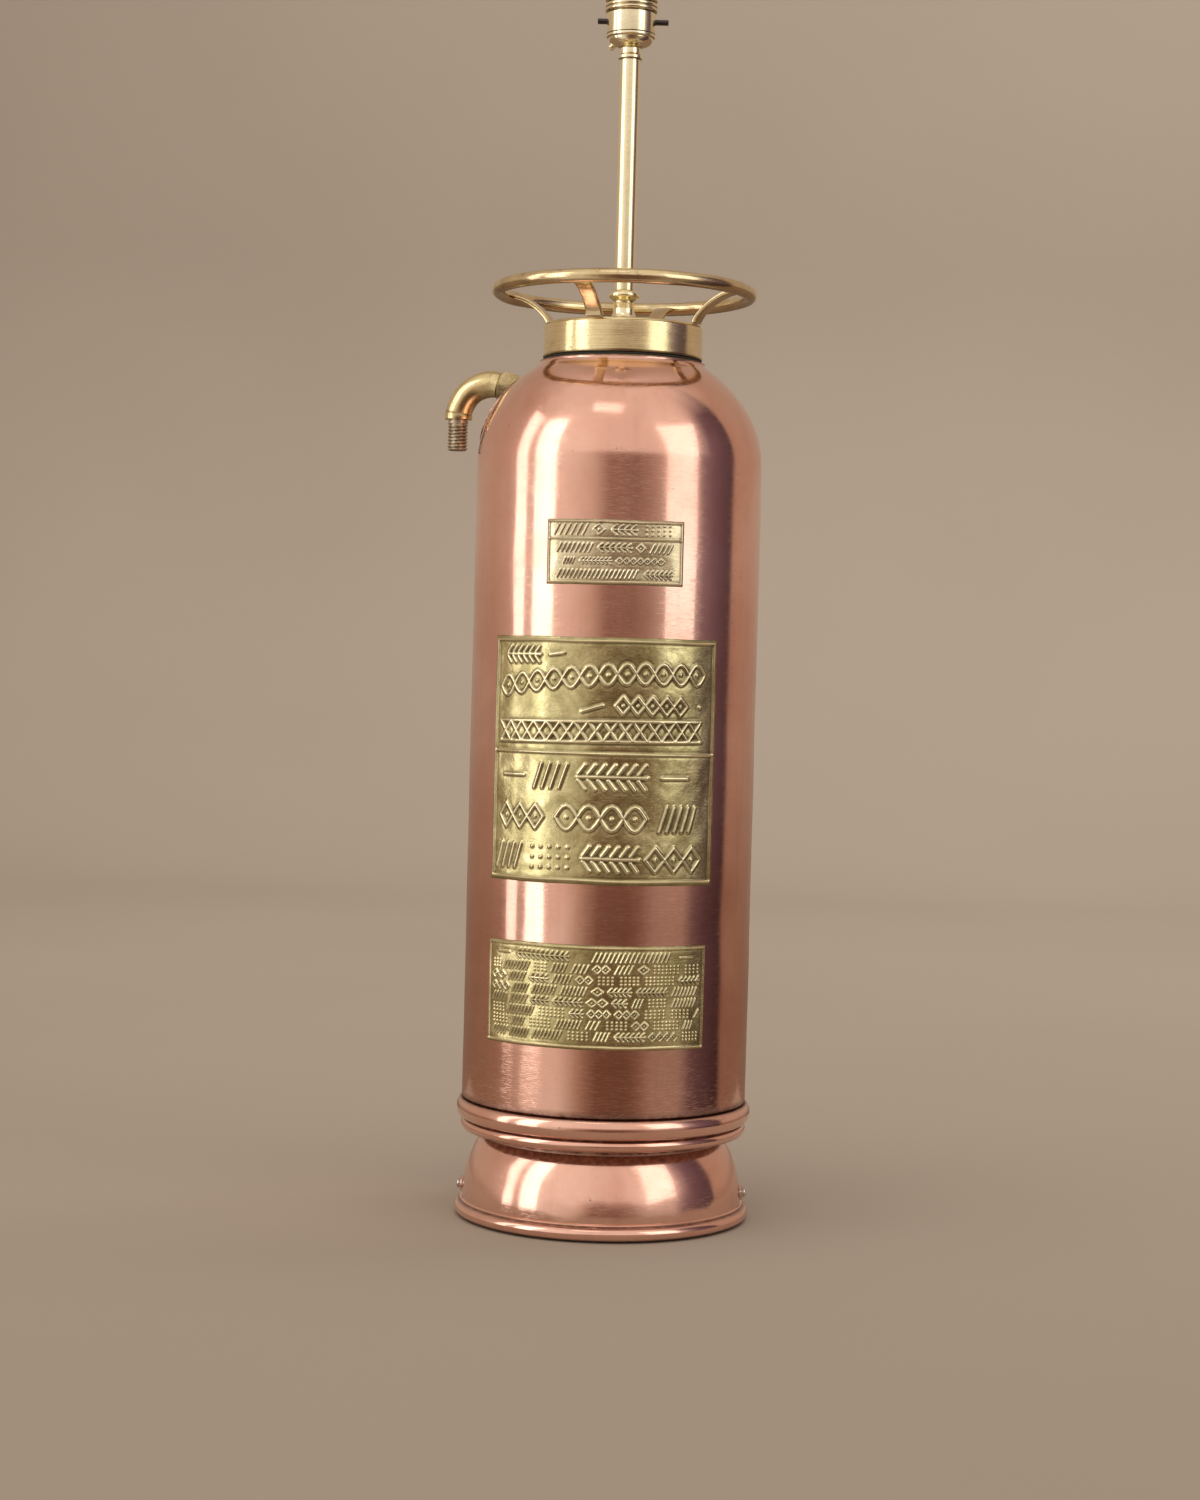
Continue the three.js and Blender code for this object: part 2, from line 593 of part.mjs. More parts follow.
// Centre line of the elbow: up along the outlet's axis, round the bend, then straight down.
class ElbowLine extends THREE.Curve {
  constructor() {
    super();
    this.tail = 26;
    this.bend = (Math.PI / 2 + degrees(OUTLET_TILT)) * ELBOW_BEND_R;
    this.drop = OUTLET_Z - ELBOW_BEND_R - ELBOW_END_Z;
  }

  getPoint(t, target = new THREE.Vector3()) {
    const s = t * (this.tail + this.bend + this.drop) - this.tail;
    const tilt = degrees(OUTLET_TILT);
    if (s < 0) return target.set(BEND_START_X + s * Math.cos(tilt), 0, BEND_START_Z + s * Math.sin(tilt));
    const angle = Math.min(s / ELBOW_BEND_R, Math.PI / 2 + tilt) - tilt;
    const below = Math.max(s - this.bend, 0);
    return target.set(ELBOW_LEG_X - ELBOW_BEND_R * (1 - Math.sin(angle)), 0,
      OUTLET_Z - ELBOW_BEND_R * (1 - Math.cos(angle)) - below);
  }
}

function outletElbow() {
  const section = new THREE.Shape();
  section.absarc(0, 0, OUTLET_TUBE_R, 0, 2 * Math.PI, false);
  const bore = new THREE.Path();
  bore.absarc(0, 0, OUTLET_BORE_R, 0, 2 * Math.PI, true);
  section.holes.push(bore);
  const extrusion = { steps: 20, curveSegments: 8, extrudePath: new ElbowLine() };
  const pipe = new THREE.ExtrudeGeometry(section, extrusion);
  const rim = tube(ELBOW_RIM_R, OUTLET_TUBE_R - 1, ELBOW_END_Z, ELBOW_END_Z + ELBOW_RIM_HEIGHT)
    .translate(ELBOW_LEG_X, 0, 0);
  const roundTenon = onOutletAxis(tube(12, OUTLET_TENON_R, -30, 0).rotateY(Math.PI / 2));
  return cut(joined(pipe, rim), roundTenon, insideSaddle());
}

// Screwed into the elbow; the hose coupling goes on its thread.
function outletSpigot() {
  const top = ELBOW_END_Z - CLEARANCE;
  const [tenonR, tenon] = [OUTLET_BORE_R - 0.5, 2.5];
  const [rootR, ridges] = [SPIGOT_R - 0.9, 8];
  const thread = Array.from({ length: ridges }, (_, i) => {
    const z = SPIGOT_END_Z + 1 + i * SPIGOT_PITCH;
    return [[rootR, z], [SPIGOT_R, z + SPIGOT_PITCH / 2]];
  }).flat();
  return turned([
    [SPIGOT_BORE_R, SPIGOT_END_Z], [rootR, SPIGOT_END_Z], ...thread, [rootR, top],
    [tenonR, top], [tenonR, top + tenon], [SPIGOT_BORE_R, top + tenon],
  ], 14).translate(ELBOW_LEG_X, 0, 0);
}

// Perforated cup behind the port, inside the tank.
function outletStrainer() {
  const [outerR, wall, length] = [6.5, 1.2, 30];
  const endX = -27.2;
  const cup = cut(rod(outerR, length, 'x', [endX + length / 2, 0, 0], 16),
    rod(outerR - wall, length, 'x', [endX + wall + length / 2, 0, 0], 16));
  const holes = [0, 1, 2, 3, 4].map((i) => {
    const angle = (i * 2 * Math.PI) / 5;
    return rod(0.8, 6, 'x', [endX, 3 * Math.cos(angle), 3 * Math.sin(angle)], 6);
  });
  return common(onOutletAxis(cut(cup, ...holes)), roundTank(shoulderProfile(-TANK_WALL - CLEARANCE, 440)));
}

part('outlet_saddle', outletSaddle(), 'copper', outlet);
part('outlet_collar', outletCollar(), 'brass', outlet);
part('outlet_elbow', outletElbow(), 'brass', outlet);
part('outlet_spigot', outletSpigot(), 'darkSteel', outlet);
part('outlet_strainer', outletStrainer(), 'brass', outlet);

export default object;
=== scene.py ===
"""Looks of the copper and brass fire extinguisher lamp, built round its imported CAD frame.

Shapes are made in millimetres in the CAD's own frame: +Z up, the front faces -Y, and an azimuth is
measured from the front, positive towards +X. build() turns them into metres.
"""
import math

import bmesh
import bpy
import numpy as np
from mathutils import Matrix, Vector


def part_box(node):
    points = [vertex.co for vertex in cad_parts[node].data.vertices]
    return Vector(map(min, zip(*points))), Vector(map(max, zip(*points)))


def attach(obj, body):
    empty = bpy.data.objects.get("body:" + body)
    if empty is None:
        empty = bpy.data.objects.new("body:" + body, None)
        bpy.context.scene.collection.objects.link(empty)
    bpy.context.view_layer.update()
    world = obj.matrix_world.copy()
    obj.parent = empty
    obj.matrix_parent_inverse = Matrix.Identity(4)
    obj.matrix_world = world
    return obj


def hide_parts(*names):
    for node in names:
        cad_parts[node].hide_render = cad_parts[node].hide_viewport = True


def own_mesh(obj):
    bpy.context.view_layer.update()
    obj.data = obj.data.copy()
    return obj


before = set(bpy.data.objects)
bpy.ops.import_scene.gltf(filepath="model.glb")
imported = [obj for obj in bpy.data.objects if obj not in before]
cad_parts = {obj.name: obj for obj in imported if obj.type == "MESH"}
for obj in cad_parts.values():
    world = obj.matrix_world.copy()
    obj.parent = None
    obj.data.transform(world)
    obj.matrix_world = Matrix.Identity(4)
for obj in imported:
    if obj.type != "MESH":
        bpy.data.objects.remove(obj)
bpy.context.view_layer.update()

MM = 0.001
TAU = 2 * math.pi


def extent(node):
    """Lowest and highest corner of a CAD node, in millimetres."""
    low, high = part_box(node)
    return np.array(low) / MM, np.array(high) / MM


def linked(name, data):
    """A new object in the scene."""
    piece = bpy.data.objects.new(name, data)
    bpy.context.scene.collection.objects.link(piece)
    return piece


# ---------------- camera

CAMERA_DISTANCE = 1.704      # metres in front of the tank's axis
CAMERA_HEIGHT = 0.346
CAMERA_LENS = 65.2           # mm, on a sensor 36 mm high
CAMERA_PITCH = -1.80         # degrees
CAMERA_YAW = 0.26
CAMERA_ROLL = 1.48


def make_camera():
    data = bpy.data.cameras.new("camera")
    data.lens = CAMERA_LENS
    data.sensor_width = 36
    data.clip_start = 0.05
    camera = linked("camera", data)
    yaw = Matrix.Rotation(math.radians(CAMERA_YAW), 4, "Z")
    pitch = Matrix.Rotation(math.radians(90 + CAMERA_PITCH), 4, "X")
    roll = Matrix.Rotation(math.radians(CAMERA_ROLL), 4, "Z")
    place = Matrix.Translation((0, -CAMERA_DISTANCE, CAMERA_HEIGHT))
    camera.matrix_world = place @ yaw @ pitch @ roll
    bpy.context.scene.camera = camera


make_camera()

# ---------------- material nodes


class Nodes:
    """A node tree, built by calls that return output sockets."""

    def __init__(self, owner):
        owner.use_nodes = True
        self.tree = owner.node_tree
        self.tree.nodes.clear()

    def plug(self, node, key, value):
        """Links a socket to a node's input, or sets the input to a value."""
        if isinstance(value, bpy.types.NodeSocket):
            self.tree.links.new(value, node.inputs[key])
        else:
            node.inputs[key].default_value = value

    def add(self, kind, inputs=None, out=0, **settings):
        node = self.tree.nodes.new(kind)
        for key, value in settings.items():
            setattr(node, key, value)
        for key, value in (inputs or {}).items():
            self.plug(node, key, value)
        return node.outputs[out]

    def ramp(self, value, low, high, start=0.0, end=1.0):
        """Maps low..high of a value to start..end, clamped."""
        return self.add("ShaderNodeMapRange", {"Value": value, "From Min": low, "From Max": high,
                                               "To Min": start, "To Max": end})

    def math(self, operation, a, b=0.0):
        return self.add("ShaderNodeMath", {0: a, 1: b}, operation=operation)

    def plus(self, value, extra, share):
        """Adds a share of an extra to a value."""
        return self.math("ADD", value, self.math("MULTIPLY", extra, share))

    def mix(self, factor, a, b, how="MIX"):
        """Mixes two colours, each a socket or a tuple."""
        node = self.tree.nodes.new("ShaderNodeMix")
        node.data_type = "RGBA"
        node.blend_type = how
        for index, value in ((0, factor), (6, a), (7, b)):
            self.plug(node, index, (*value, 1) if isinstance(value, tuple) else value)
        return node.outputs[2]


class Graph(Nodes):
    """A material's nodes, round one Principled shader."""

    def __init__(self, name, **fixed):
        self.material = bpy.data.materials.new(name)
        super().__init__(self.material)
        self.shader = self.tree.nodes.new("ShaderNodeBsdfPrincipled")
        output = self.tree.nodes.new("ShaderNodeOutputMaterial")
        self.tree.links.new(self.shader.outputs[0], output.inputs[0])
        for socket, value in fixed.items():
            self.shader.inputs[socket.replace("_", " ")].default_value = value
        self.place = self.add("ShaderNodeTexCoord", out="Object")

    def to_shader(self, socket, value):
        self.tree.links.new(value, self.shader.inputs[socket])

    def noise(self, scale, detail=3, rough=0.55, stretch=(1, 1, 1), turn=(0, 0, 0), distort=0.0):
        """Noise from 0 to 1; scale is in features per metre, and stretch multiplies it on each axis."""
        mapped = self.add("ShaderNodeMapping", {"Vector": self.place, "Rotation": turn, "Scale": stretch})
        return self.add("ShaderNodeTexNoise", {"Vector": mapped, "Scale": scale, "Detail": detail,
                                               "Roughness": rough, "Distortion": distort})

    def attribute(self, name):
        return self.add("ShaderNodeAttribute", attribute_name=name, out="Fac")

    def scratches(self, scale, turns, low=0.62, high=0.70):
        """Sparse thin lines in several directions, from 0 to 1."""
        total = None
        for angle in turns:
            line = self.noise(scale, 2, 0.5, stretch=(1, 1, 26), turn=(angle, angle * 0.7, 0))
            line = self.ramp(line, low, high)
            total = line if total is None else self.math("MAXIMUM", total, line)
        return total

    def bump(self, *layers):
        """Stacks (height, strength, distance in millimetres) layers into the shader's normal."""
        normal = None
        for height, strength, distance in layers:
            inputs = {"Height": height, "Strength": strength, "Distance": distance * MM}
            if normal is not None:
                inputs["Normal"] = normal
            normal = self.add("ShaderNodeBump", inputs)
        self.to_shader("Normal", normal)


# Each of these returns a look: the material, and the record's slot that it belongs to.


def copper_material():
    """Hand-polished antique copper: soft blotches, fine hairlines, brown painted shade and rougher metal in
    the grooves.
    """
    g = Graph("copper", Metallic=1.0)
    blotch = g.noise(16, 4, 0.6, distort=0.4)
    streak = g.noise(90, 4, 0.6, stretch=(1, 1, 0.10))
    rub = g.noise(70, 4, 0.65, stretch=(0.25, 0.25, 2.2))
    lines = g.scratches(120, (0.5, 1.35, 2.5))
    # painted shade in grooves and joins, broken up by noise; it also roughens the metal there
    grime = g.math("MULTIPLY", g.attribute("grime"), g.ramp(g.noise(220, 4, 0.6), 0.3, 0.6, 0.55, 1))
    colour = g.mix(g.ramp(blotch, 0.38, 0.68), (0.95, 0.605, 0.495), (0.88, 0.505, 0.395))
    colour = g.mix(g.ramp(streak, 0.50, 0.75, 0, 0.30), colour, (0.74, 0.38, 0.29))
    spots = g.ramp(g.noise(330, 3, 0.7), 0.69, 0.75, 0, 0.7)
    colour = g.mix(spots, colour, (0.36, 0.16, 0.11))
    # dark brown painted shade in the grooves and joins
    colour = g.mix(grime, colour, (0.085, 0.035, 0.022))
    g.to_shader("Base Color", colour)
    rough = g.ramp(rub, 0.3, 0.75, 0.07, 0.13)
    rough = g.math("ADD", rough, g.ramp(blotch, 0.45, 0.75, 0, 0.07))
    rough = g.plus(rough, lines, 0.10)
    g.to_shader("Roughness", g.plus(rough, grime, 0.35))
    g.bump((g.noise(34, 2, 0.5), 0.4, 0.12), (rub, 0.12, 0.012), (lines, 0.25, -0.02), (spots, 0.4, -0.06))
    return g.material, "copper"


def brass_material(name, bright, dull, tarnish, rough, turned=0.0, pits=0.0, tarnish_amount=0.35, ripple=0.1):
    """Brass; turned is the strength of its lathe lines, and pits that of casting pits."""
    g = Graph(name, Metallic=1.0)
    cloud = g.noise(45, 4, 0.6, distort=0.5)
    fine = g.noise(420, 3, 0.6)
    lathe = g.noise(60, 3, 0.7, stretch=(0.12, 0.12, 34))
    lines = g.scratches(240, (0.3, 1.2, 2.2))
    # painted shade in grooves and joins, broken up by noise; it also roughens the metal there
    grime = g.math("MULTIPLY", g.attribute("grime"), g.ramp(fine, 0.3, 0.6, 0.6, 1))
    colour = g.mix(g.ramp(cloud, 0.35, 0.7), bright, dull)
    stain = g.ramp(g.noise(95, 5, 0.7, distort=1.2), 0.56, 0.72, 0, tarnish_amount)
    colour = g.mix(stain, colour, tarnish)
    colour = g.mix(g.ramp(lathe, 0.45, 0.8, 0, 0.45 * turned), colour, tarnish)
    hole = g.ramp(g.noise(520, 2, 0.5), 0.70, 0.74, 0, pits)
    colour = g.mix(hole, colour, tuple(0.35 * c for c in tarnish))
    # darkens the grooves and joins as painted shade
    colour = g.mix(grime, colour, tuple(0.25 * c for c in tarnish))
    g.to_shader("Base Color", colour)
    total = g.ramp(cloud, 0.3, 0.7, rough, rough * 1.7)
    total = g.plus(total, lines, 0.10)
    total = g.plus(total, stain, 0.25)
    g.to_shader("Roughness", g.plus(total, grime, 0.3))
    g.bump((g.noise(60, 2, 0.5), ripple, 0.3), (lathe, 0.7 * turned + 0.02, 0.05), (lines, 0.3, -0.02),
           (hole, 0.8, -0.12))
    return g.material, name


def steel_material(name, light, dark, rough):
    g = Graph(name, Metallic=1.0)
    cloud = g.noise(160, 4, 0.65)
    # painted shade in grooves, from the per-vertex amount
    grime = g.attribute("grime")
    colour = g.mix(g.ramp(cloud, 0.35, 0.65), light, dark)
    g.to_shader("Base Color", g.mix(grime, colour, tuple(0.12 * c for c in dark)))
    g.to_shader("Roughness", g.ramp(cloud, 0.3, 0.7, rough, rough * 1.6))
    g.bump((g.noise(900, 3, 0.6), 0.25, 0.04))
    return g.material, name


def matt_material(name, light, dark, rough, grain, bump, stretch=(1, 1, 1), **fixed):
    """Rubber, felt, wood, moulded insulator and moulded plastic: two mixed colours and a grain."""
    g = Graph(name, Metallic=0.0, **fixed)
    coarse = g.noise(grain, 5, 0.65, stretch=stretch, distort=0.3)
    fine = g.noise(grain * 7, 3, 0.6, stretch=stretch)
    g.to_shader("Base Color", g.mix(g.ramp(coarse, 0.3, 0.7), light, dark))
    g.to_shader("Roughness", g.ramp(coarse, 0.3, 0.7, rough, min(rough * 1.25, 1)))
    g.bump((coarse, bump, 0.2), (fine, bump, 0.06))
    return g.material, name


def plate_material(name, bright, dull, rubbed_and_highlight):
    """Embossed sheet brass, lighter on the raised parts as rubbed wear and a painted highlight, and dark in
    the recesses as patina and painted shade.
    """
    g = Graph(name, Metallic=1.0)
    cloud = g.noise(38, 5, 0.65, distort=0.8)
    fine = g.noise(260, 4, 0.7)
    lines = g.scratches(200, (0.4, 1.1, 2.0, 2.7))
    height = g.attribute("relief")
    # painted shade, with patina, beside the raised strokes and along the sheet's edges
    grime = g.math("MULTIPLY", g.attribute("grime"), g.ramp(fine, 0.3, 0.6, 0.65, 1))
    colour = g.mix(g.ramp(cloud, 0.36, 0.66), bright, dull)
    colour = g.mix(g.ramp(fine, 0.55, 0.75, 0, 0.4), colour, tuple(0.6 * c for c in dull))
    # raised parts lighter: rubbed wear and a painted highlight
    colour = g.mix(g.math("MULTIPLY", height, 0.85), colour, rubbed_and_highlight)
    colour = g.mix(grime, colour, (0.085, 0.06, 0.025))
    g.to_shader("Base Color", colour)
    rough = g.ramp(cloud, 0.3, 0.7, 0.13, 0.26)
    rough = g.plus(rough, height, -0.03)
    g.to_shader("Roughness", g.plus(rough, grime, 0.35))
    g.bump((g.noise(60, 3, 0.6), 0.8, 0.5), (fine, 0.3, 0.06), (lines, 0.4, -0.03))
    return g.material, "plate_brass"


COPPER = copper_material()
CAP_BRASS = brass_material("cap_brass", (0.93, 0.81, 0.50), (0.80, 0.67, 0.37), (0.42, 0.31, 0.14), 0.09,
                           turned=0.95, pits=0.8)
RING_BRASS = brass_material("ring_brass", (0.86, 0.73, 0.45), (0.66, 0.52, 0.30), (0.30, 0.21, 0.11), 0.10,
                            tarnish_amount=0.6)
OUTLET_BRASS = brass_material("outlet_brass", (0.92, 0.80, 0.48), (0.70, 0.56, 0.28), (0.26, 0.15, 0.06),
                              0.11, pits=0.4, tarnish_amount=0.55)
LAMP_BRASS = brass_material("lamp_brass", (1.0, 0.93, 0.66), (0.98, 0.88, 0.56), (0.80, 0.64, 0.36), 0.07,
                            tarnish_amount=0.15, ripple=0.03)
# the third colour of each plate is for its raised parts: rubbed wear and a painted highlight
PLATE_BRASS = plate_material("plate_brass", (0.80, 0.73, 0.41), (0.44, 0.39, 0.18), (0.98, 0.91, 0.62))
SMALL_PLATE_BRASS = plate_material("small_plate_brass", (0.88, 0.80, 0.56), (0.68, 0.60, 0.38),
                                   (1.0, 0.93, 0.72))
SPIGOT_STEEL = steel_material("spigot_steel", (0.90, 0.82, 0.68), (0.62, 0.54, 0.42), 0.27)
SCREW_STEEL = steel_material("screw_steel", (0.78, 0.76, 0.73), (0.60, 0.58, 0.55), 0.18)
RUBBER = matt_material("rubber", (0.03, 0.028, 0.027), (0.05, 0.047, 0.045), 0.7, 300, 0.3)
BAKELITE = matt_material("bakelite", (0.018, 0.013, 0.011), (0.03, 0.022, 0.018), 0.22, 180, 0.1,
                         Coat_Weight=0.3, Coat_Roughness=0.12)
INSULATOR = matt_material("insulator", (0.72, 0.68, 0.60), (0.60, 0.56, 0.48), 0.42, 140, 0.15)
WOOD = matt_material("wood", (0.26, 0.15, 0.075), (0.12, 0.065, 0.032), 0.55, 60, 0.5, stretch=(0.15, 1, 1))
FELT = matt_material("felt", (0.03, 0.075, 0.045), (0.015, 0.042, 0.026), 0.95, 900, 0.8,
                     Sheen_Weight=0.4, Sheen_Roughness=0.5)

# ---------------- geometry helpers


def build(node, verts, faces, look, body, shade_lines=None, sharp=35, **attributes):
    """The closed mesh, from millimetre vertices, that stands for a CAD node.

    The shade lines are dark lines of painted shade in grooves and joins, which a function spreads over the
    vertices, and attributes are numbers for the materials, one for all vertices or one each.
    """
    name = node + "_surface"
    mesh = bpy.data.meshes.new(name)
    mesh.from_pydata((np.asarray(verts, float) * MM).tolist(), [], faces)
    shape = bmesh.new()
    shape.from_mesh(mesh)
    bmesh.ops.recalc_face_normals(shape, faces=shape.faces)
    shape.to_mesh(mesh)
    shape.free()
    mesh.polygons.foreach_set("use_smooth", [True] * len(mesh.polygons))
    mesh.set_sharp_from_angle(angle=math.radians(sharp))
    # the dark lines become the per-vertex amount of painted shade that the materials read
    if shade_lines is not None:
        attributes["grime"] = grime_at(verts, shade_lines)
    for key, values in attributes.items():
        layer = mesh.attributes.new(key, "FLOAT", "POINT")
        layer.data.foreach_set("value", np.full(len(verts), values, np.float32))
    piece = linked(name, mesh)
    material, slot = look
    mesh.materials.append(material)
    weighted = piece.modifiers.new("weighted", "WEIGHTED_NORMAL")
    weighted.keep_sharp = True
    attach(piece, body)
    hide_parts(node)
    return piece


def arc(centre_r, centre_z, half_r, half_z, start, end, steps):
    """Points (r, z) on an arc of an ellipse, from start to end degrees."""
    angles = np.radians(np.linspace(start, end, steps + 1))
    return [(centre_r + half_r * math.cos(a), centre_z + half_z * math.sin(a)) for a in angles]


def bezier(start, control, end, steps):
    ts = np.linspace(0, 1, steps + 1)[:, None]
    curve = (1 - ts) ** 2 * np.array(start) + 2 * ts * (1 - ts) * np.array(control) + ts**2 * np.array(end)
    return [tuple(p) for p in curve]


def rounded(corners, steps=4):
    """A closed outline; a corner (r, z, fillet) becomes a round, and a corner (r, z) stays as it is."""
    outline = []
    for i, corner in enumerate(corners):
        here = np.array(corner[:2], float)
        if len(corner) < 3:
            outline.append(tuple(here))
            continue
        ends = []
        for other in (corners[i - 1], corners[(i + 1) % len(corners)]):
            side = np.array(other[:2], float) - here
            ends.append(here + side * min(corner[2] / np.linalg.norm(side), 0.48))
        outline += bezier(ends[0], here, ends[1], steps)
    return outline


def line(start, end, step):
    """Points from start to end, both included, at most step apart."""
    length = math.hypot(end[0] - start[0], end[1] - start[1])
    count = max(1, math.ceil(length / step))
    return [tuple(p) for p in np.linspace(start, end, count + 1)]


def points(x, y, z):
    """Points from their coordinates, each an array or one number for all."""
    return np.stack(np.broadcast_arrays(x, y, z), -1)


def polar(r, angle, z):
    """Points from their distance from the Z axis, angle and height."""
    return points(r * np.cos(angle), r * np.sin(angle), z)


def skin(rings, closed=True):
    """Vertices and faces of rings of points joined in order; a ring of one point is a pole.

    The last ring joins the first when closed, and the end rings stay open when not.
    """
    starts = np.cumsum([0] + [len(ring) for ring in rings]).tolist()
    faces = []
    for i in range(len(rings) if closed else len(rings) - 1):
        j = (i + 1) % len(rings)
        a, b = starts[i], starts[j]
        spokes = max(len(rings[i]), len(rings[j]))
        for k in range(spokes):
            n = (k + 1) % spokes
            if len(rings[i]) == 1:
                faces.append((a, b + k, b + n))
            elif len(rings[j]) == 1:
                faces.append((a + k, a + n, b))
            else:
                faces.append((a + k, a + n, b + n, b + k))
    return np.vstack(rings), faces


def rod(rings):
    """Vertices and faces of rings joined in order, with flat ends."""
    verts, faces = skin(rings, closed=False)
    spokes = len(rings[0])
    return verts, [*faces, tuple(range(spokes)), tuple(range(len(verts) - spokes, len(verts)))]


def lathe(outline, segments=160, shape=None):
    """Vertices and faces of an outline of (r, z) points turned round Z.

    The outline closes on itself, or starts and ends on the axis, and may have corners to round, as
    rounded() takes them. shape(r, angle, z) may return changed r and z.
    """
    angles = np.arange(segments) * TAU / segments
    rings = []
    for r, z in rounded(outline):
        if r < 1e-9:
            rings.append([(0.0, 0.0, z)])
            continue
        radii, heights = np.full(segments, r), np.full(segments, z)
        if shape is not None:
            radii, heights = shape(radii, angles, heights)
        rings.append(polar(radii, angles, heights))
    return skin(rings, closed=len(rings[0]) > 1)


def waves(places, wavelength, seed, count=16):
    """Smooth noise of about -1 to 1 at each point: sine waves in random directions."""
    random = np.random.RandomState(seed)
    directions = random.normal(size=(count, 3))
    directions /= np.linalg.norm(directions, axis=1)[:, None]
    pitch = wavelength * random.uniform(0.7, 1.6, count)
    phase = random.uniform(0, TAU, count)
    return np.sin(TAU * (places @ directions.T) / pitch + phase).sum(-1) / math.sqrt(count)


def outward(verts):
    """Unit vectors from the Z axis to each vertex."""
    flat = verts * (1, 1, 0)
    return flat / np.maximum(np.linalg.norm(flat, axis=1), 1e-9)[:, None]


def grime_at(verts, shade_lines):
    """Painted shade at each vertex: lines are (height, half width, amount) of dark lines round the piece."""
    amount = np.zeros(len(verts))
    for height, width, strength in shade_lines:
        amount = np.maximum(amount, strength * np.exp(-(((verts[:, 2] - height) / width) ** 2)))
    return amount


def turned(node, outline, look, body, shade_lines=(), segments=160, shape=None):
    """A turned piece, as the lathe makes it."""
    verts, faces = lathe(outline, segments, shape)
    return build(node, verts, faces, look, body, shade_lines)


def smooth_step(x):
    x = np.clip(x, 0, 1)
    return x * x * (3 - 2 * x)


def turn_about_z(verts, azimuth):
    """Turns vertices made along +X to an azimuth."""
    angle = math.radians(azimuth - 90)
    c, s = math.cos(angle), math.sin(angle)
    return verts @ np.array([[c, s, 0], [-s, c, 0], [0, 0, 1]])


def lying(verts):
    """Lays a piece made round Z along +X."""
    return verts[:, [2, 1, 0]] * (1, 1, -1)


def tilted(verts, tilt, x, z):
    """Raises a piece that lies along +X by an angle, and moves its origin to x, z."""
    c, s = math.cos(tilt), math.sin(tilt)
    return verts @ np.array([[c, 0, s], [0, 1, 0], [-s, 0, c]]) + (x, 0, z)


def apply_cut(piece, cutters):
    """Cuts other objects out of a piece and removes them."""
    for cutter in cutters:
        cut = piece.modifiers.new("cut", "BOOLEAN")
        cut.operation = "DIFFERENCE"
        cut.object = cutter
        cut.solver = "EXACT"
        piece.modifiers.move(len(piece.modifiers) - 1, 0)
    bpy.context.view_layer.update()
    weighted = piece.modifiers["weighted"]
    weighted.show_viewport = False
    result = bpy.data.meshes.new_from_object(piece.evaluated_get(bpy.context.evaluated_depsgraph_get()))
    for modifier in [m for m in piece.modifiers if m.type == "BOOLEAN"]:
        piece.modifiers.remove(modifier)
    piece.data = result
    weighted.show_viewport = True
    for cutter in cutters:
        bpy.data.objects.remove(cutter)


def cutter(shape, place):
    """Makes a bmesh into an object to cut with."""
    mesh = bpy.data.meshes.new("cutter")
    shape.to_mesh(mesh)
    shape.free()
    mesh.transform(place)
    return linked("cutter", mesh)


def box_cutter(size, centre, turn=Matrix.Identity(4)):
    """A box to cut with, in millimetres."""
    shape = bmesh.new()
    bmesh.ops.create_cube(shape, size=MM)
    return cutter(shape, turn @ Matrix.Translation(Vector(centre) * MM) @ Matrix.Diagonal((*size, 1)))


def rod_cutter(radius, length, centre, axis):
    """A round rod to cut with, in millimetres."""
    shape = bmesh.new()
    bmesh.ops.create_cone(shape, cap_ends=True, segments=40, radius1=radius * MM, radius2=radius * MM,
                          depth=length * MM)
    turn = Vector((0, 0, 1)).rotation_difference(Vector(axis)).to_matrix().to_4x4()
    return cutter(shape, Matrix.Translation(Vector(centre) * MM) @ turn)


# ---------------- tank

TANK_LOW, TANK_HIGH = extent("tank_shell")
TANK_R = TANK_HIGH[0]
WALL = 1.5
SHOULDER_Z = 470             # the elliptical shoulder starts here
SHOULDER_RISE = 76
NECK_R = 51
FLANGE_Z = 534.6             # top of the neck's flange, under the gasket
BAND_TOP_Z = extent("foot_band")[1][2]
PORT_AZIMUTH = -105          # the outlet
PORT_Z = 521.5
DENTS = [                    # azimuth, height, radius and depth of the larger dents
    (-38, 521, 6, 0.7), (-30, 500, 9, 0.5), (47, 514, 5, 0.6), (-8, 517, 12, 0.5), (22, 496, 14, 0.45),
    (-55, 486, 11, 0.4), (12, 527, 6, 0.5), (66, 500, 13, 0.5), (-20, 300, 30, 0.35), (58, 190, 26, 0.45),
    (30, 96, 16, 0.4), (-62, 345, 24, 0.35), (120, 410, 28, 0.6), (160, 250, 36, 0.6), (-130, 180, 30, 0.5),
    (-160, 395, 22, 0.5), (95, 300, 20, 0.4), (140, 505, 9, 0.6), (-150, 498, 10, 0.5),
]


def dented(verts, dents, amount, wavelength, seed, inner_r):
    """Pushes a shell's skin in at its dents and lets the rest of it wander a little."""
    radial = np.hypot(verts[:, 0], verts[:, 1])
    push = waves(verts, wavelength, seed) * amount + waves(verts, wavelength * 0.35, seed + 1) * amount * 0.22
    upper = verts[:, 2] >= SHOULDER_Z - 1
    heights, radii = verts[upper][::400, 2], radial[upper][::400]
    for azimuth, height, radius, depth in dents:
        angle = math.radians(azimuth - 90)
        near = radial.max() if height < SHOULDER_Z else np.interp(height, heights, radii)
        centre = np.array([near * math.cos(angle), near * math.sin(angle), height])
        push -= depth * np.exp(-(((verts - centre) ** 2).sum(1)) / radius**2)
    fade = smooth_step((radial - inner_r) / 4)
    return verts + outward(verts) * (push * fade)[:, None]


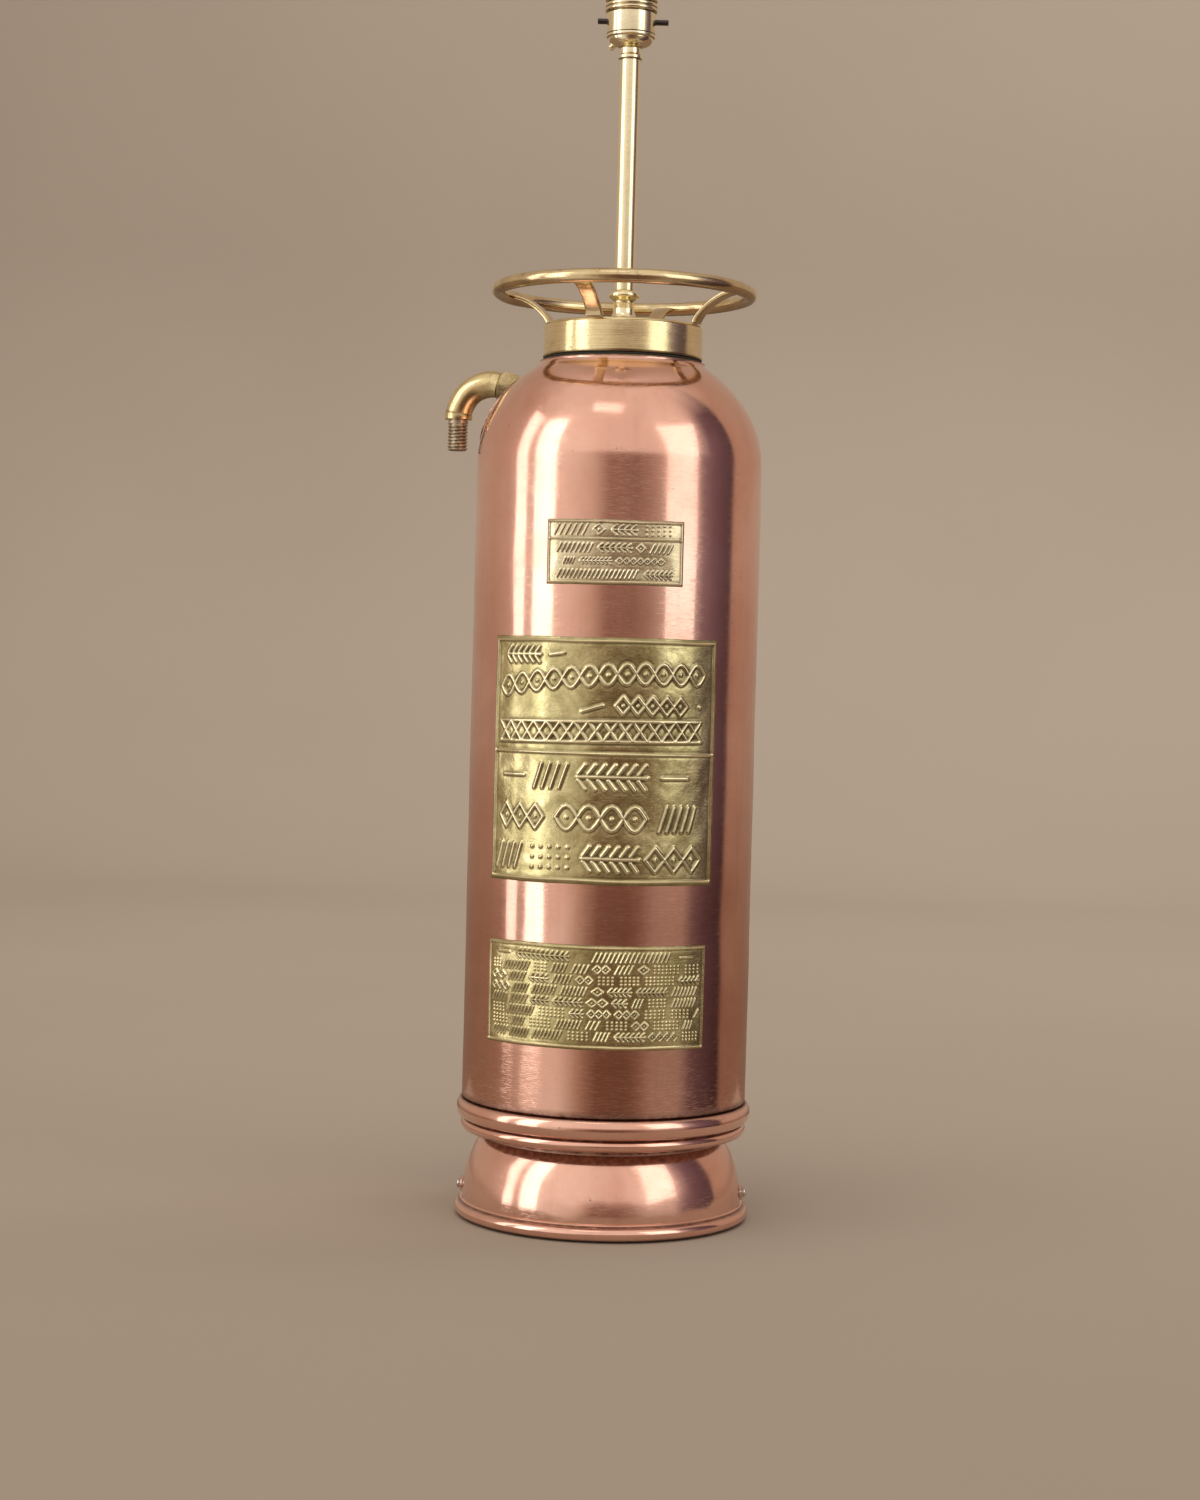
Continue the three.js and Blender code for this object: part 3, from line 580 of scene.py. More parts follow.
def tank_shell():
    """Up outside to the lip round the neck's flange, then down inside; only the outer skin is dented."""
    swaged = TANK_R - 2
    end = math.degrees(math.acos(NECK_R / TANK_R))
    inner = TANK_R - WALL
    inner_end = math.degrees(math.acos(NECK_R / inner))
    lip_z = SHOULDER_Z + SHOULDER_RISE * math.sin(math.radians(end))
    outline = [
        *line((swaged, TANK_LOW[2]), (swaged, BAND_TOP_Z - 0.4), 8),
        *line((TANK_R, BAND_TOP_Z + 1.2), (TANK_R, SHOULDER_Z - 4), 4),
        *arc(0, SHOULDER_Z, TANK_R, SHOULDER_RISE, 0, end - 2, 44),
        (NECK_R + 1.1, lip_z), (NECK_R + 0.8, lip_z + 0.6), (NECK_R + 0.7, FLANGE_Z - 0.7),
        (NECK_R + 0.4, FLANGE_Z - 0.4), (NECK_R, FLANGE_Z - 0.7), (NECK_R, lip_z - 0.5),
        *arc(0, SHOULDER_Z, inner, SHOULDER_RISE - WALL, inner_end, 0, 12),
        *line((inner, SHOULDER_Z - 40), (inner, BAND_TOP_Z + 1.2), 60), (swaged - WALL, BAND_TOP_Z - 0.4),
        (swaged - WALL, TANK_LOW[2]),
    ]
    verts, faces = lathe(outline, 288)
    moved = dented(verts, DENTS, 0.13, 85, 4, NECK_R + 2)
    radial = np.hypot(verts[:, 0], verts[:, 1])
    ellipse = np.sqrt(np.clip(1 - ((verts[:, 2] - SHOULDER_Z) / SHOULDER_RISE).clip(0) ** 2, 0, 1)) * TANK_R
    is_skin = (radial > ellipse - 0.6) & (verts[:, 2] > BAND_TOP_Z + 1)
    verts[is_skin] = moved[is_skin]
    # painted shade just above the foot band and at the lip under the neck's flange
    shade_lines = [(BAND_TOP_Z + 1.3, 1.4, 0.9), (FLANGE_Z - 0.5, 0.7, 0.95)]
    build("tank_shell", verts, faces, COPPER, "tank", shade_lines)


def foot_band():
    low, high = extent("foot_band")
    inner = TANK_R - 2 + 0.3
    outline = [
        (inner, high[2] - 0.4), (89.1, high[2] - 0.15),
        *arc(88.4, 67.7, high[0] - 88.4, 6.0, 74, -74, 18), (88.4, 61.5), (88.3, 61.2),
        *arc(86, 57.6, 3.4, 3.6, 66, -66, 14), (86, low[2]), (72, low[2]), (72, low[2] + 1.4),
        (inner, low[2] + 1.4),
    ]
    verts, faces = lathe(outline, 256)
    push = waves(verts, 46, 11) * 0.10 - 0.12
    verts += outward(verts) * (push * smooth_step((np.hypot(verts[:, 0], verts[:, 1]) - 87.4) / 1.2))[:, None]
    # painted shade at the top join, in the groove between the beads and at the bottom join
    shade_lines = [(high[2], 0.8, 1.0), (61.3, 0.9, 1.0), (low[2], 1.1, 0.8)]
    build("foot_band", verts, faces, COPPER, "tank", shade_lines)


SKIRT_CURVE = ((87.8, 11), (86.8, 36), (75.8, 50))
RIM_R = 4.2
GROMMET_R, GROMMET_Z = 84.3, 31     # the cable's way out, at the back
GROMMET_TILT = math.radians(13)


def foot_skirt():
    low, high = extent("foot_skirt")
    centre = high[0] - RIM_R
    shift = [(r - WALL, z) for r, z in SKIRT_CURVE]
    outline = [
        *arc(centre, low[2] + RIM_R, RIM_R, RIM_R, -180, 62, 26), (88.9, 9.3), (88.95, 10.2), (88.6, 10.7),
        *bezier(*SKIRT_CURVE, 36), (75.8, 51.5), (75.8, high[2]), (74.3, high[2]), (74.3, 51),
        *reversed(bezier(*shift, 10)), (86.3, 8.6),
    ]
    verts, faces = lathe(outline, 256)
    skin_verts = np.hypot(verts[:, 0], verts[:, 1]) > 74.9
    dents = [(-12, 27, 9, 0.5), (18, 33, 8, 0.45), (47, 24, 8, 0.4), (-46, 32, 8, 0.4), (75, 34, 9, 0.4),
             (150, 28, 10, 0.6), (-140, 30, 9, 0.5)]
    moved = dented(verts, dents, 0.12, 42, 21, 74)
    verts[skin_verts] = moved[skin_verts] - outward(verts[skin_verts]) * 0.14
    # painted shade under the foot band, at the crease above the rim bead and along the bottom edge
    piece = build("foot_skirt", verts, faces, COPPER, "tank",
                  [(high[2] - 1.5, 2.6, 1.0), (9.2, 0.7, 0.85), (low[2], 0.9, 0.6)])
    axis = (0, math.cos(GROMMET_TILT), math.sin(GROMMET_TILT))
    apply_cut(piece, [rod_cutter(6.3, 16, (0, GROMMET_R, GROMMET_Z), axis)])


def neck_ring():
    low, high = extent("neck_ring")
    pitch, thread_r = 3.2, 44.0

    def thread(radii, angles, heights):
        inside = (abs(radii - thread_r) < 0.01) & (heights > FLANGE_Z + 0.6) & (heights < high[2] - 0.8)
        phase = np.mod(heights / pitch - angles / TAU, 1)
        ridge = np.clip(2.4 * abs(phase - 0.5) - 0.1, 0, 1)
        return np.where(inside, radii - 1.5 * ridge, radii), heights

    outline = [
        (37, low[2]), (50.6, low[2]), (50.6, 530), (50.6, FLANGE_Z, 0.5), (thread_r, FLANGE_Z),
        *line((thread_r, FLANGE_Z + 0.4), (thread_r, high[2] - 0.4), 0.32)[1:],
        (thread_r - 0.4, high[2]), (37.5, high[2]), (37, high[2] - 0.5), *line((37, 545), (37, 530), 8),
    ]
    # painted shade along the flange, under the cap
    turned("neck_ring", outline, CAP_BRASS, "tank", [(FLANGE_Z - 1.2, 1.6, 0.9)], 192, thread)


tank_shell()
foot_band()
foot_skirt()
neck_ring()

# ---------------- foot screws, grommet and base

SCREW_Z = 16.5
SCREW_AZIMUTHS = {"left": -92, "right": 88}
WASHER_FACE = 87.9           # where the cup washer meets the skirt


def foot_screw(side, azimuth):
    tip = 68
    head = WASHER_FACE + 1.9
    outline = [(0, tip), (1.9, tip + 3), (1.9, head - 0.2), (2.9, head - 0.2), (3.1, head),
               *arc(0, head, 3.1, 2.0, 4, 86, 9), (0, head + 2.0)]
    verts, faces = lathe(outline, 40)
    verts = turn_about_z(lying(verts) + (0, 0, SCREW_Z), azimuth)
    piece = build(f"foot_screw_{side}", verts, faces, SCREW_STEEL, "tank")
    turn = Matrix.Rotation(math.radians(azimuth - 90), 4, "Z")
    apply_cut(piece, [box_cutter((1.6, 8, 0.8), (head + 1.9, 0, SCREW_Z), turn)])


def foot_washer(side, azimuth):
    face = WASHER_FACE
    outline = [(2.2, face), (5, face, 0.2), (4.6, face + 0.7, 0.5), (3.6, face + 1.35, 0.4),
               (3.1, face + 0.9, 0.3), (2.2, face + 0.7)]
    verts, faces = lathe(outline, 48)
    verts = turn_about_z(lying(verts) + (0, 0, SCREW_Z), azimuth)
    build(f"foot_washer_{side}", verts, faces, COPPER, "tank", grime=0.15)


def cable_grommet():
    outline = [(4.5, -4.5, 0.5), (6, -4.5, 0.6), (6, 0.6), (8.5, 0.6, 0.3), (8.5, 1.6, 0.4),
               (7.2, 3, 0.8), (4.5, 3, 0.9)]
    verts, faces = lathe(outline, 64)
    verts = tilted(lying(verts), GROMMET_TILT, GROMMET_R, GROMMET_Z)
    build("cable_grommet", turn_about_z(verts, 180), faces, RUBBER, "tank")


for side_name, side_azimuth in SCREW_AZIMUTHS.items():
    foot_screw(side_name, side_azimuth)
    foot_washer(side_name, side_azimuth)
cable_grommet()

# ---------------- cap, legs, ring


def screw_cap():
    low, high = extent("screw_cap")
    r, z, top = high[0], low[2], high[2]
    plate = top - 5
    outline = [
        (44.4, z + 0.3, 0.3), (44.8, z), (r - 0.4, z, 0.5), (r, z + 1.2, 0.6), (r, z + 9),
        (r - 0.06, z + 9.5), (r, z + 10), (r, top - 1.6, 0.9), (r - 1.3, top, 0.9), (44, top),
        (43.6, top - 0.35, 0.3), (42.8, top - 0.35, 0.3), (42.4, top), (24, top), (23.7, top - 0.2),
        (23.4, top), (5.3, top), (5.3, plate), (44.4, plate),
    ]
    verts, faces = lathe(outline, 224)
    push = waves(verts, 26, 31) * 0.05 - 0.06
    outer = np.hypot(verts[:, 0], verts[:, 1]) > 49
    verts[outer] += (outward(verts) * push[:, None])[outer]
    # painted shade along the cap's lower edge, and a faint line at its top
    build("screw_cap", verts, faces, CAP_BRASS, "cap", [(z, 1.0, 0.85), (top - 0.2, 0.5, 0.25)])


def cap_gasket():
    low, high = extent("cap_gasket")
    outline = [(44.5, low[2], 0.3), (49.5, low[2], 0.5), (49.5, high[2], 0.5), (44.5, high[2], 0.3)]
    turned("cap_gasket", outline, RUBBER, "gasket")


RING_BAR_R = 4.5
RING_R = extent("hand_ring")[1][0] - RING_BAR_R
RING_Z = 578


def hand_ring():
    """A bar bent to a ring, a little uneven, with painted shade on its underside."""
    outline = [(RING_R + dr, z) for dr, z in arc(0, RING_Z, RING_BAR_R, RING_BAR_R, 0, 360, 28)[:-1]]
    verts, faces = lathe(outline, 224)
    centre = outward(verts) * RING_R + (0, 0, RING_Z)
    wander = 1 - 0.025 * (1 + waves(centre, 40, 41)[:, None])
    # painted shade: darker towards the underside
    grime = np.clip((RING_Z - 2.2 - verts[:, 2]) / 6, 0, 0.4)
    build("hand_ring", centre + (verts - centre) * wander, faces, RING_BRASS, "cap", grime=grime)


LEG_AZIMUTHS = {"front": -21.6, "right": 68.4, "rear": 158.4, "left": -111.6}
LEG_WIDTH, LEG_THICKNESS = 12.0, 3.0


def cap_leg(side, azimuth):
    """A strip with rounded edges along the same line as the CAD leg."""
    foot_z = extent("screw_cap")[1][2] + 0.3
    controls = np.array([(48.4, foot_z), (48.4, foot_z + 4.7), (61, RING_Z - 2.5), (73.2, RING_Z - 1)])
    around = np.linspace(0, TAU, 33)[:-1]
    across = LEG_THICKNESS / 2 * np.sign(np.cos(around)) * np.abs(np.cos(around)) ** 0.5
    width = LEG_WIDTH / 2 * np.sign(np.sin(around)) * np.abs(np.sin(around)) ** 0.25
    stations = 40
    rings = []
    for t in np.linspace(0, 1, stations):
        u = 1 - t
        x, z = np.array([u**3, 3 * t * u**2, 3 * t * t * u, t**3]) @ controls
        slopes = np.array([-3 * u**2, 3 * u**2 - 6 * t * u, 6 * t * u - 3 * t * t, 3 * t * t]) @ controls
        dx, dz = slopes / np.linalg.norm(slopes)
        end = min(min(t, u) * stations / 1.6, 1)
        close = math.sqrt(1 - (1 - end) ** 2) * 0.35 + 0.65
        waist = 1 - 0.16 * math.sin(math.pi * t)
        rings.append(points(x - dz * across * close, width * waist * close, z + dx * across * close))
    verts, faces = rod(rings)
    build(f"cap_leg_{side}", turn_about_z(verts, azimuth), faces, RING_BRASS, "cap", grime=0.05)


screw_cap()
cap_gasket()
hand_ring()
for side_name, side_azimuth in LEG_AZIMUTHS.items():
    cap_leg(side_name, side_azimuth)

# ---------------- stem


def stem():
    low, high = extent("stem_base")
    z = low[2]
    bore = 5.3
    outline = [
        (bore, z), (12, z, 0.3), (12, z + 1.7, 0.7), (11.1, z + 2.3, 0.4), (10.6, z + 3.2),
        *bezier((10.4, z + 3.6), (7.0, z + 4.6), (6.5, z + 10.5), 12), (6.5, z + 14.6, 1.0),
        (7.2, z + 16.0, 0.8), (9.6, z + 17.4, 0.9), (9.6, z + 19.6, 0.9), (8.0, high[2], 0.6),
        (bore, high[2]),
    ]
    # painted shade at the base's foot and in the groove above its waist
    turned("stem_base", outline, LAMP_BRASS, "cap", [(z, 0.5, 0.5), (z + 15.3, 0.5, 0.35)], 128)
    low, high = extent("stem_tube")
    outline = [(bore, low[2]), (high[0] - 0.2, low[2]), (high[0], low[2] + 0.2),
               *line((high[0], low[2] + 1), (high[0], high[2] - 1), 12), (high[0], high[2] - 0.2),
               (high[0] - 0.2, high[2]), (bore, high[2])]
    # painted shade at the tube's two ends
    turned("stem_tube", outline, LAMP_BRASS, "cap", [(low[2], 0.4, 0.5), (high[2], 0.4, 0.5)], 96)
    low, high = extent("stem_washer")
    outline = [(bore, low[2]), (7.5, low[2], 0.5), (7.5, high[2], 0.5), (bore, high[2])]
    # painted shade under the washer
    turned("stem_washer", outline, LAMP_BRASS, "cap", [(low[2], 0.3, 0.4)], 96)


stem()

# ---------------- lampholder

HOUSING_LOW, HOUSING_HIGH = extent("lampholder_housing")
HOUSING_R = HOUSING_HIGH[0]
BARREL_Z = 751.0
BARREL_R, BARREL_BORE = 14.1, 11.3
BARREL_PITCH = 1.9
PUSH_BAR_Z = 746.0
EARTH_AZIMUTH, EARTH_R, EARTH_Z = -108, 9.6, 732.6
EARTH_TILT = math.radians(28)       # its head points down
CONTACT_X = {"left": -4.0, "right": 4.0}


def lampholder_dome():
    low, high = extent("lampholder_dome")
    z = low[2]
    outline = [
        (5.3, z), (6.1, z, 0.3), (6.5, z + 0.6, 0.4), (6.5, z + 4.2, 0.4), (7.4, z + 4.6, 0.5),
        (8.2, z + 5.1, 0.3), *bezier((8.6, z + 5.3), (13.3, z + 6.1), (14.0, z + 9.6), 12),
        (14.0, z + 10.0, 0.3), (14.6, z + 10.4, 0.3), (HOUSING_R, z + 10.8, 0.3), (HOUSING_R, high[2], 0.4),
        (12.6, high[2]), *bezier((12.6, z + 10.9), (12, z + 8.1), (8, z + 7.3), 5), (5.3, z + 7.1),
    ]
    # painted shade at the dome's steps
    turned("lampholder_dome", outline, LAMP_BRASS, "cap", [(z + 4.6, 0.4, 0.5), (z + 10.2, 0.3, 0.5)], 128)


def earth_screw():
    outline = [(0, -1.6), (1.2, -1.6), (1.2, 1.6), (1.8, 1.6), (2.0, 1.9), (2.0, 4.1), (1.7, 4.6), (0, 4.6)]
    verts, faces = lathe(outline, 36)
    verts = tilted(lying(verts), -EARTH_TILT, EARTH_R, EARTH_Z)
    piece = build("earth_screw", turn_about_z(verts, EARTH_AZIMUTH), faces, LAMP_BRASS, "cap")
    turn = (Matrix.Rotation(math.radians(EARTH_AZIMUTH - 90), 4, "Z")
            @ Matrix.Translation(Vector((EARTH_R, 0, EARTH_Z)) * MM) @ Matrix.Rotation(EARTH_TILT, 4, "Y"))
    apply_cut(piece, [box_cutter((1.4, 6, 0.7), (4.6, 0, 0), turn)])


def thread_shape(radius, pitch, depth, bottom, top):
    """Shapes the rows of a lathe at a radius into a screw thread between two heights."""
    def shape(radii, angles, heights):
        inside = (abs(radii - radius) < 0.01) & (heights > bottom) & (heights < top)
        fade = np.clip((heights - bottom) / pitch, 0, 1) * np.clip((top - heights) / pitch, 0, 1)
        phase = np.mod(heights / pitch - angles / TAU, 1)
        groove = np.clip(2.2 * abs(phase - 0.5) - 0.05, 0, 1)
        return np.where(inside, radii - depth * groove * fade, radii), heights
    return shape


def bayonet_cutters():
    """L-shaped slots on two sides, each with the notch that holds the lamp's pin."""
    width, depth, wall = 2.8, 9.0, 8.0
    top = HOUSING_HIGH[2]
    cutters = []
    for side in (1, -1):
        y, pin = side * BARREL_R, side * 4.2
        cutters += [box_cutter((width, wall, depth), (0, y, top + 1 - depth / 2)),
                    box_cutter((width + 4.2, wall, width), (pin / 2, y, top - depth + 1)),
                    box_cutter((width, wall, width + 1.4), (pin, y, top - depth + 1.7))]
    return cutters


def lampholder_housing():
    low, high = HOUSING_LOW, HOUSING_HIGH
    outline = [
        (13.4, low[2]), (HOUSING_R, low[2], 0.3), (HOUSING_R, BARREL_Z - 0.4, 0.3), (BARREL_R, BARREL_Z),
        *line((BARREL_R, BARREL_Z + 0.4), (BARREL_R, high[2] - 4), 0.24),
        (BARREL_R, high[2] - 0.4), (BARREL_R - 0.4, high[2]), (BARREL_BORE + 0.4, high[2]),
        (BARREL_BORE, high[2] - 0.4), *line((BARREL_BORE, high[2] - 6), (BARREL_BORE, BARREL_Z + 0.6), 8),
        (13.4, BARREL_Z - 1),
    ]
    shape = thread_shape(BARREL_R, BARREL_PITCH, 0.55, BARREL_Z + 0.3, high[2] - 9)
    # painted shade at the housing's foot and where the barrel steps in
    shade_lines = [(low[2], 0.3, 0.6), (BARREL_Z, 0.4, 0.5)]
    piece = turned("lampholder_housing", outline, LAMP_BRASS, "cap", shade_lines, 96, shape)
    apply_cut(piece, [rod_cutter(2.1, 60, (0, 0, PUSH_BAR_Z), (1, 0, 0)), *bayonet_cutters()])


def shade_ring(side):
    node = f"shade_ring_{side}"
    low, high = extent(node)
    z, top, outer = low[2], high[2], high[0]
    outline = [(14.4, z), (15.4, z, 0.3), (outer, z + 0.9, 0.5), (outer, z + 2.0, 0.5),
               (15.6, z + 2.7, 0.4), (outer, z + 3.5, 0.5), (outer, z + 4.6, 0.5), (15.4, top, 0.4),
               (14.4, top)]
    # painted shade at the ring's lower edge, its middle groove and its top
    turned(node, outline, LAMP_BRASS, node, [(z, 0.4, 0.6), (z + 2.75, 0.4, 0.55), (top, 0.3, 0.5)], 128)


def push_bar():
    low, high = extent("switch_push_bar")
    r = 1.75
    outline = [(0, low[0]), (r - 0.6, low[0]), (r - 0.15, low[0] + 0.15), (r, low[0] + 0.6),
               *line((r, low[0] + 2), (r, high[0] - 2), 6), (r, high[0] - 0.6), (r - 0.15, high[0] - 0.15),
               (r - 0.6, high[0]), (0, high[0])]
    verts, faces = lathe(outline, 48)
    build("switch_push_bar", lying(verts) + (0, 0, PUSH_BAR_Z), faces, BAKELITE, "push_bar")


def contact_plunger(side, x):
    """Turned pin with a shoulder and a domed tip."""
    node = f"contact_plunger_{side}"
    low, high = extent(node)
    shoulder = low[2] + 2.6
    outline = [(0, low[2]), (2.7, low[2], 0.3), (2.7, shoulder, 0.3), (2, shoulder),
               (2, high[2] - 0.8, 0.5), (1.3, high[2], 0.6), (0, high[2])]
    verts, faces = lathe(outline, 40)
    # painted shade at the plunger's shoulder
    build(node, verts + (x, 0, 0), faces, LAMP_BRASS, f"plunger_{side}", [(shoulder, 0.4, 0.5)])


def contact_spring(side, x):
    """Round wire wound under the plunger; it shortens as the plunger is pressed."""
    node = f"contact_spring_{side}"
    low, high = extent(node)
    coil_r, wire_r, turns = 2.0, 0.35, 4
    start, end = low[2] + wire_r, high[2] - wire_r
    around = np.arange(12) * TAU / 12
    rings = []
    for t in np.linspace(0, 1, 160):
        inset = 1 - min(60 * t, 60 * (1 - t), 1)
        wire = wire_r * math.sqrt(max(0.05, 1 - inset**2))
        r = coil_r + wire * np.cos(around)
        turn = TAU * turns * t
        rings.append(points(x + r * math.cos(turn), r * math.sin(turn),
                            start + (end - start) * t + wire * np.sin(around)))
    verts, faces = rod(rings)
    piece = build(node, verts, faces, SCREW_STEEL, "cap")
    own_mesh(piece)


lampholder_dome()
earth_screw()
for contact_side, contact_x in CONTACT_X.items():
    contact_plunger(contact_side, contact_x)
    contact_spring(contact_side, contact_x)
lampholder_housing()
shade_ring("lower")
shade_ring("upper")
push_bar()

# ---------------- outlet

SADDLE_OFFSET = 1.8          # outer face of the saddle over the tank's skin
TUBE_R, BORE_R = 8.5, 5.5
BEND_R, LEG_X, ELBOW_END_Z = 22.0, 107.0, 499.0
TENON_R = 7.0                # of the elbow, inside its collar
TILT = math.radians(15)      # the outlet leaves the shoulder rising
BEND_X = LEG_X - BEND_R * (1 + math.sin(TILT))
BEND_Z = PORT_Z - BEND_R * (1 - math.cos(TILT))


def on_shoulder(z, offset):
    """Radius of the tank's skin at a height, moved outwards by an offset."""
    rise = np.clip((z - SHOULDER_Z) / (SHOULDER_RISE + offset), 0, 1)
    return (TANK_R + offset) * np.sqrt(1 - rise**2)


def outlet_saddle():
    """An oval patch bent over the shoulder."""
    centre_z, half_z, half_y = 503.5, 23.5, 22.0
    steps, spokes = 16, 96
    layers = [(i / steps, SADDLE_OFFSET) for i in range(steps)]
    layers += [(0.985, SADDLE_OFFSET - 0.15), (1.0, SADDLE_OFFSET - 0.6), (1.0, 0.15)]
    layers += [(i / steps, 0.1) for i in range(steps - 1, -1, -4)]
    rings = []
    for scale, offset in layers:
        a = np.arange(spokes if scale else 1) * TAU / spokes
        y, z = half_y * scale * np.cos(a), centre_z + half_z * scale * np.sin(a)
        rings.append(points(np.sqrt(on_shoulder(z, offset) ** 2 - y**2), y, z))
    verts, faces = skin(rings, closed=False)
    faces.append(tuple(range(len(verts) - spokes, len(verts))))
    edge = np.abs(np.hypot((verts[:, 2] - centre_z) / half_z, verts[:, 1] / half_y) - 1)
    # painted shade: a dark line round the patch's edge, where it meets the tank
    build("outlet_saddle", turn_about_z(verts, PORT_AZIMUTH), faces, COPPER, "tank",
          grime=0.8 * np.exp(-(edge / 0.03) ** 2))


def along_elbow(s):
    """Centre and forward direction, in the XZ plane, at a distance past the start of the elbow's bend."""
    bend = (math.pi / 2 + TILT) * BEND_R
    if s < 0:
        return (BEND_X + s * math.cos(TILT), BEND_Z + s * math.sin(TILT)), (math.cos(TILT), math.sin(TILT))
    angle = min(s / BEND_R, math.pi / 2 + TILT) - TILT
    below = max(s - bend, 0)
    centre = (LEG_X - BEND_R * (1 - math.sin(angle)), PORT_Z - BEND_R * (1 - math.cos(angle)) - below)
    return centre, (math.cos(angle), -math.sin(angle))


def outlet_elbow():
    """A pipe from its tenon in the collar, round the bend, to the thicker rim over the spigot."""
    root = -20
    length = (math.pi / 2 + TILT) * BEND_R + PORT_Z - BEND_R - ELBOW_END_Z
    outside = [(s, TENON_R) for s in np.linspace(root, -0.02, 8)] + [(0, TUBE_R - 0.5), (0.4, TUBE_R)]
    outside += [(s, TUBE_R) for s in np.linspace(1.2, length - 4.2, 46)]
    rim = [(length - 3.8, TUBE_R + 0.1), (length - 3.2, TUBE_R + 0.4), (length - 0.6, TUBE_R + 0.4),
           (length - 0.1, TUBE_R + 0.1), (length, TUBE_R - 0.3), (length, BORE_R + 0.3)]
    inside = [(s, BORE_R) for s in np.linspace(length - 0.3, root, 24)]
    rows = outside + rim + inside
    spokes = 56
    a = np.arange(spokes) * TAU / spokes
    rings, centres = [], []
    for s, r in rows:
        (x, z), (dx, dz) = along_elbow(s)
        rings.append(points(x - dz * r * np.sin(a), r * np.cos(a), z + dx * r * np.sin(a)))
        centres += [(x, 0, z)] * spokes
    verts, faces = skin(rings)
    away = verts - centres
    away /= np.linalg.norm(away, axis=1)[:, None]
    # painted shade under the bend, and a dark line where the rim starts
    under = np.clip(-away[:, 2] - 0.2, 0, 1) * (verts[:, 0] < LEG_X + 2)
    verts += away * (waves(verts, 14, 51) * 0.10 - 0.1)[:, None]
    from_rim = np.repeat([s for s, _ in rows], spokes) - length + 4
    painted_shade = np.maximum(0.9 * under, 0.7 * np.exp(-((from_rim / 0.7) ** 2)))
    build("outlet_elbow", turn_about_z(verts, PORT_AZIMUTH), faces, OUTLET_BRASS, "tank", grime=painted_shade)


def outlet_collar():
    """Six-sided collar at the elbow's root, its corners turned off at the end."""
    across, start, end = 18.0, -18.0, -0.3
    a = np.arange(96) * TAU / 96
    hexagon = across / 2 / np.cos(np.mod(a, math.pi / 3) - math.pi / 6)
    rows = [(start, hexagon), (end - 1.4, hexagon), (end - 0.9, np.minimum(hexagon, across / 2 + 0.9)),
            (end - 0.35, np.minimum(hexagon, across / 2 + 0.3)), (end, across / 2 - 0.5),
            (end, TENON_R + 0.2), (start, TENON_R + 0.2)]
    verts, faces = skin([points(x, r * np.cos(a), r * np.sin(a)) for x, r in rows])
    # darkened all over, and more towards the lower side, which is painted shade
    grime = np.clip(0.80 - (verts[:, 2] + 4) / 22, 0.4, 0.95)
    verts = turn_about_z(tilted(verts, TILT, BEND_X, BEND_Z), PORT_AZIMUTH)
    build("outlet_collar", verts, faces, OUTLET_BRASS, "tank", sharp=25, grime=grime)


def outlet_spigot():
    low, high = extent("outlet_spigot")
    r, bore, pitch = 6.5, 3.5, 2.1
    bottom, top = low[2], ELBOW_END_Z - 0.3
    outline = [(bore, bottom + 0.4), (bore + 0.4, bottom), (r - 1.2, bottom), (r - 0.7, bottom + 0.5),
               *line((r, bottom + 0.6), (r, top - 1.2), 0.2), (r - 0.5, top - 0.6), (r - 0.5, top),
               (5.0, top), (5.0, high[2]), (bore, high[2])]
    verts, faces = lathe(outline, 72, thread_shape(r, pitch, 1.15, bottom - 1, top - 1.2))
    # painted shade in the thread's grooves
    painted_shade = np.clip((r - 0.3 - np.hypot(verts[:, 0], verts[:, 1])) / 1.1, 0, 0.6)
    build("outlet_spigot", turn_about_z(verts + (LEG_X, 0, 0), PORT_AZIMUTH), faces, SPIGOT_STEEL, "tank",
          grime=painted_shade)


outlet_saddle()
outlet_elbow()
outlet_collar()
outlet_spigot()

# ---------------- embossed plates

PLATE_R = TANK_R + 0.3       # back of the sheet
SHEET = 0.7


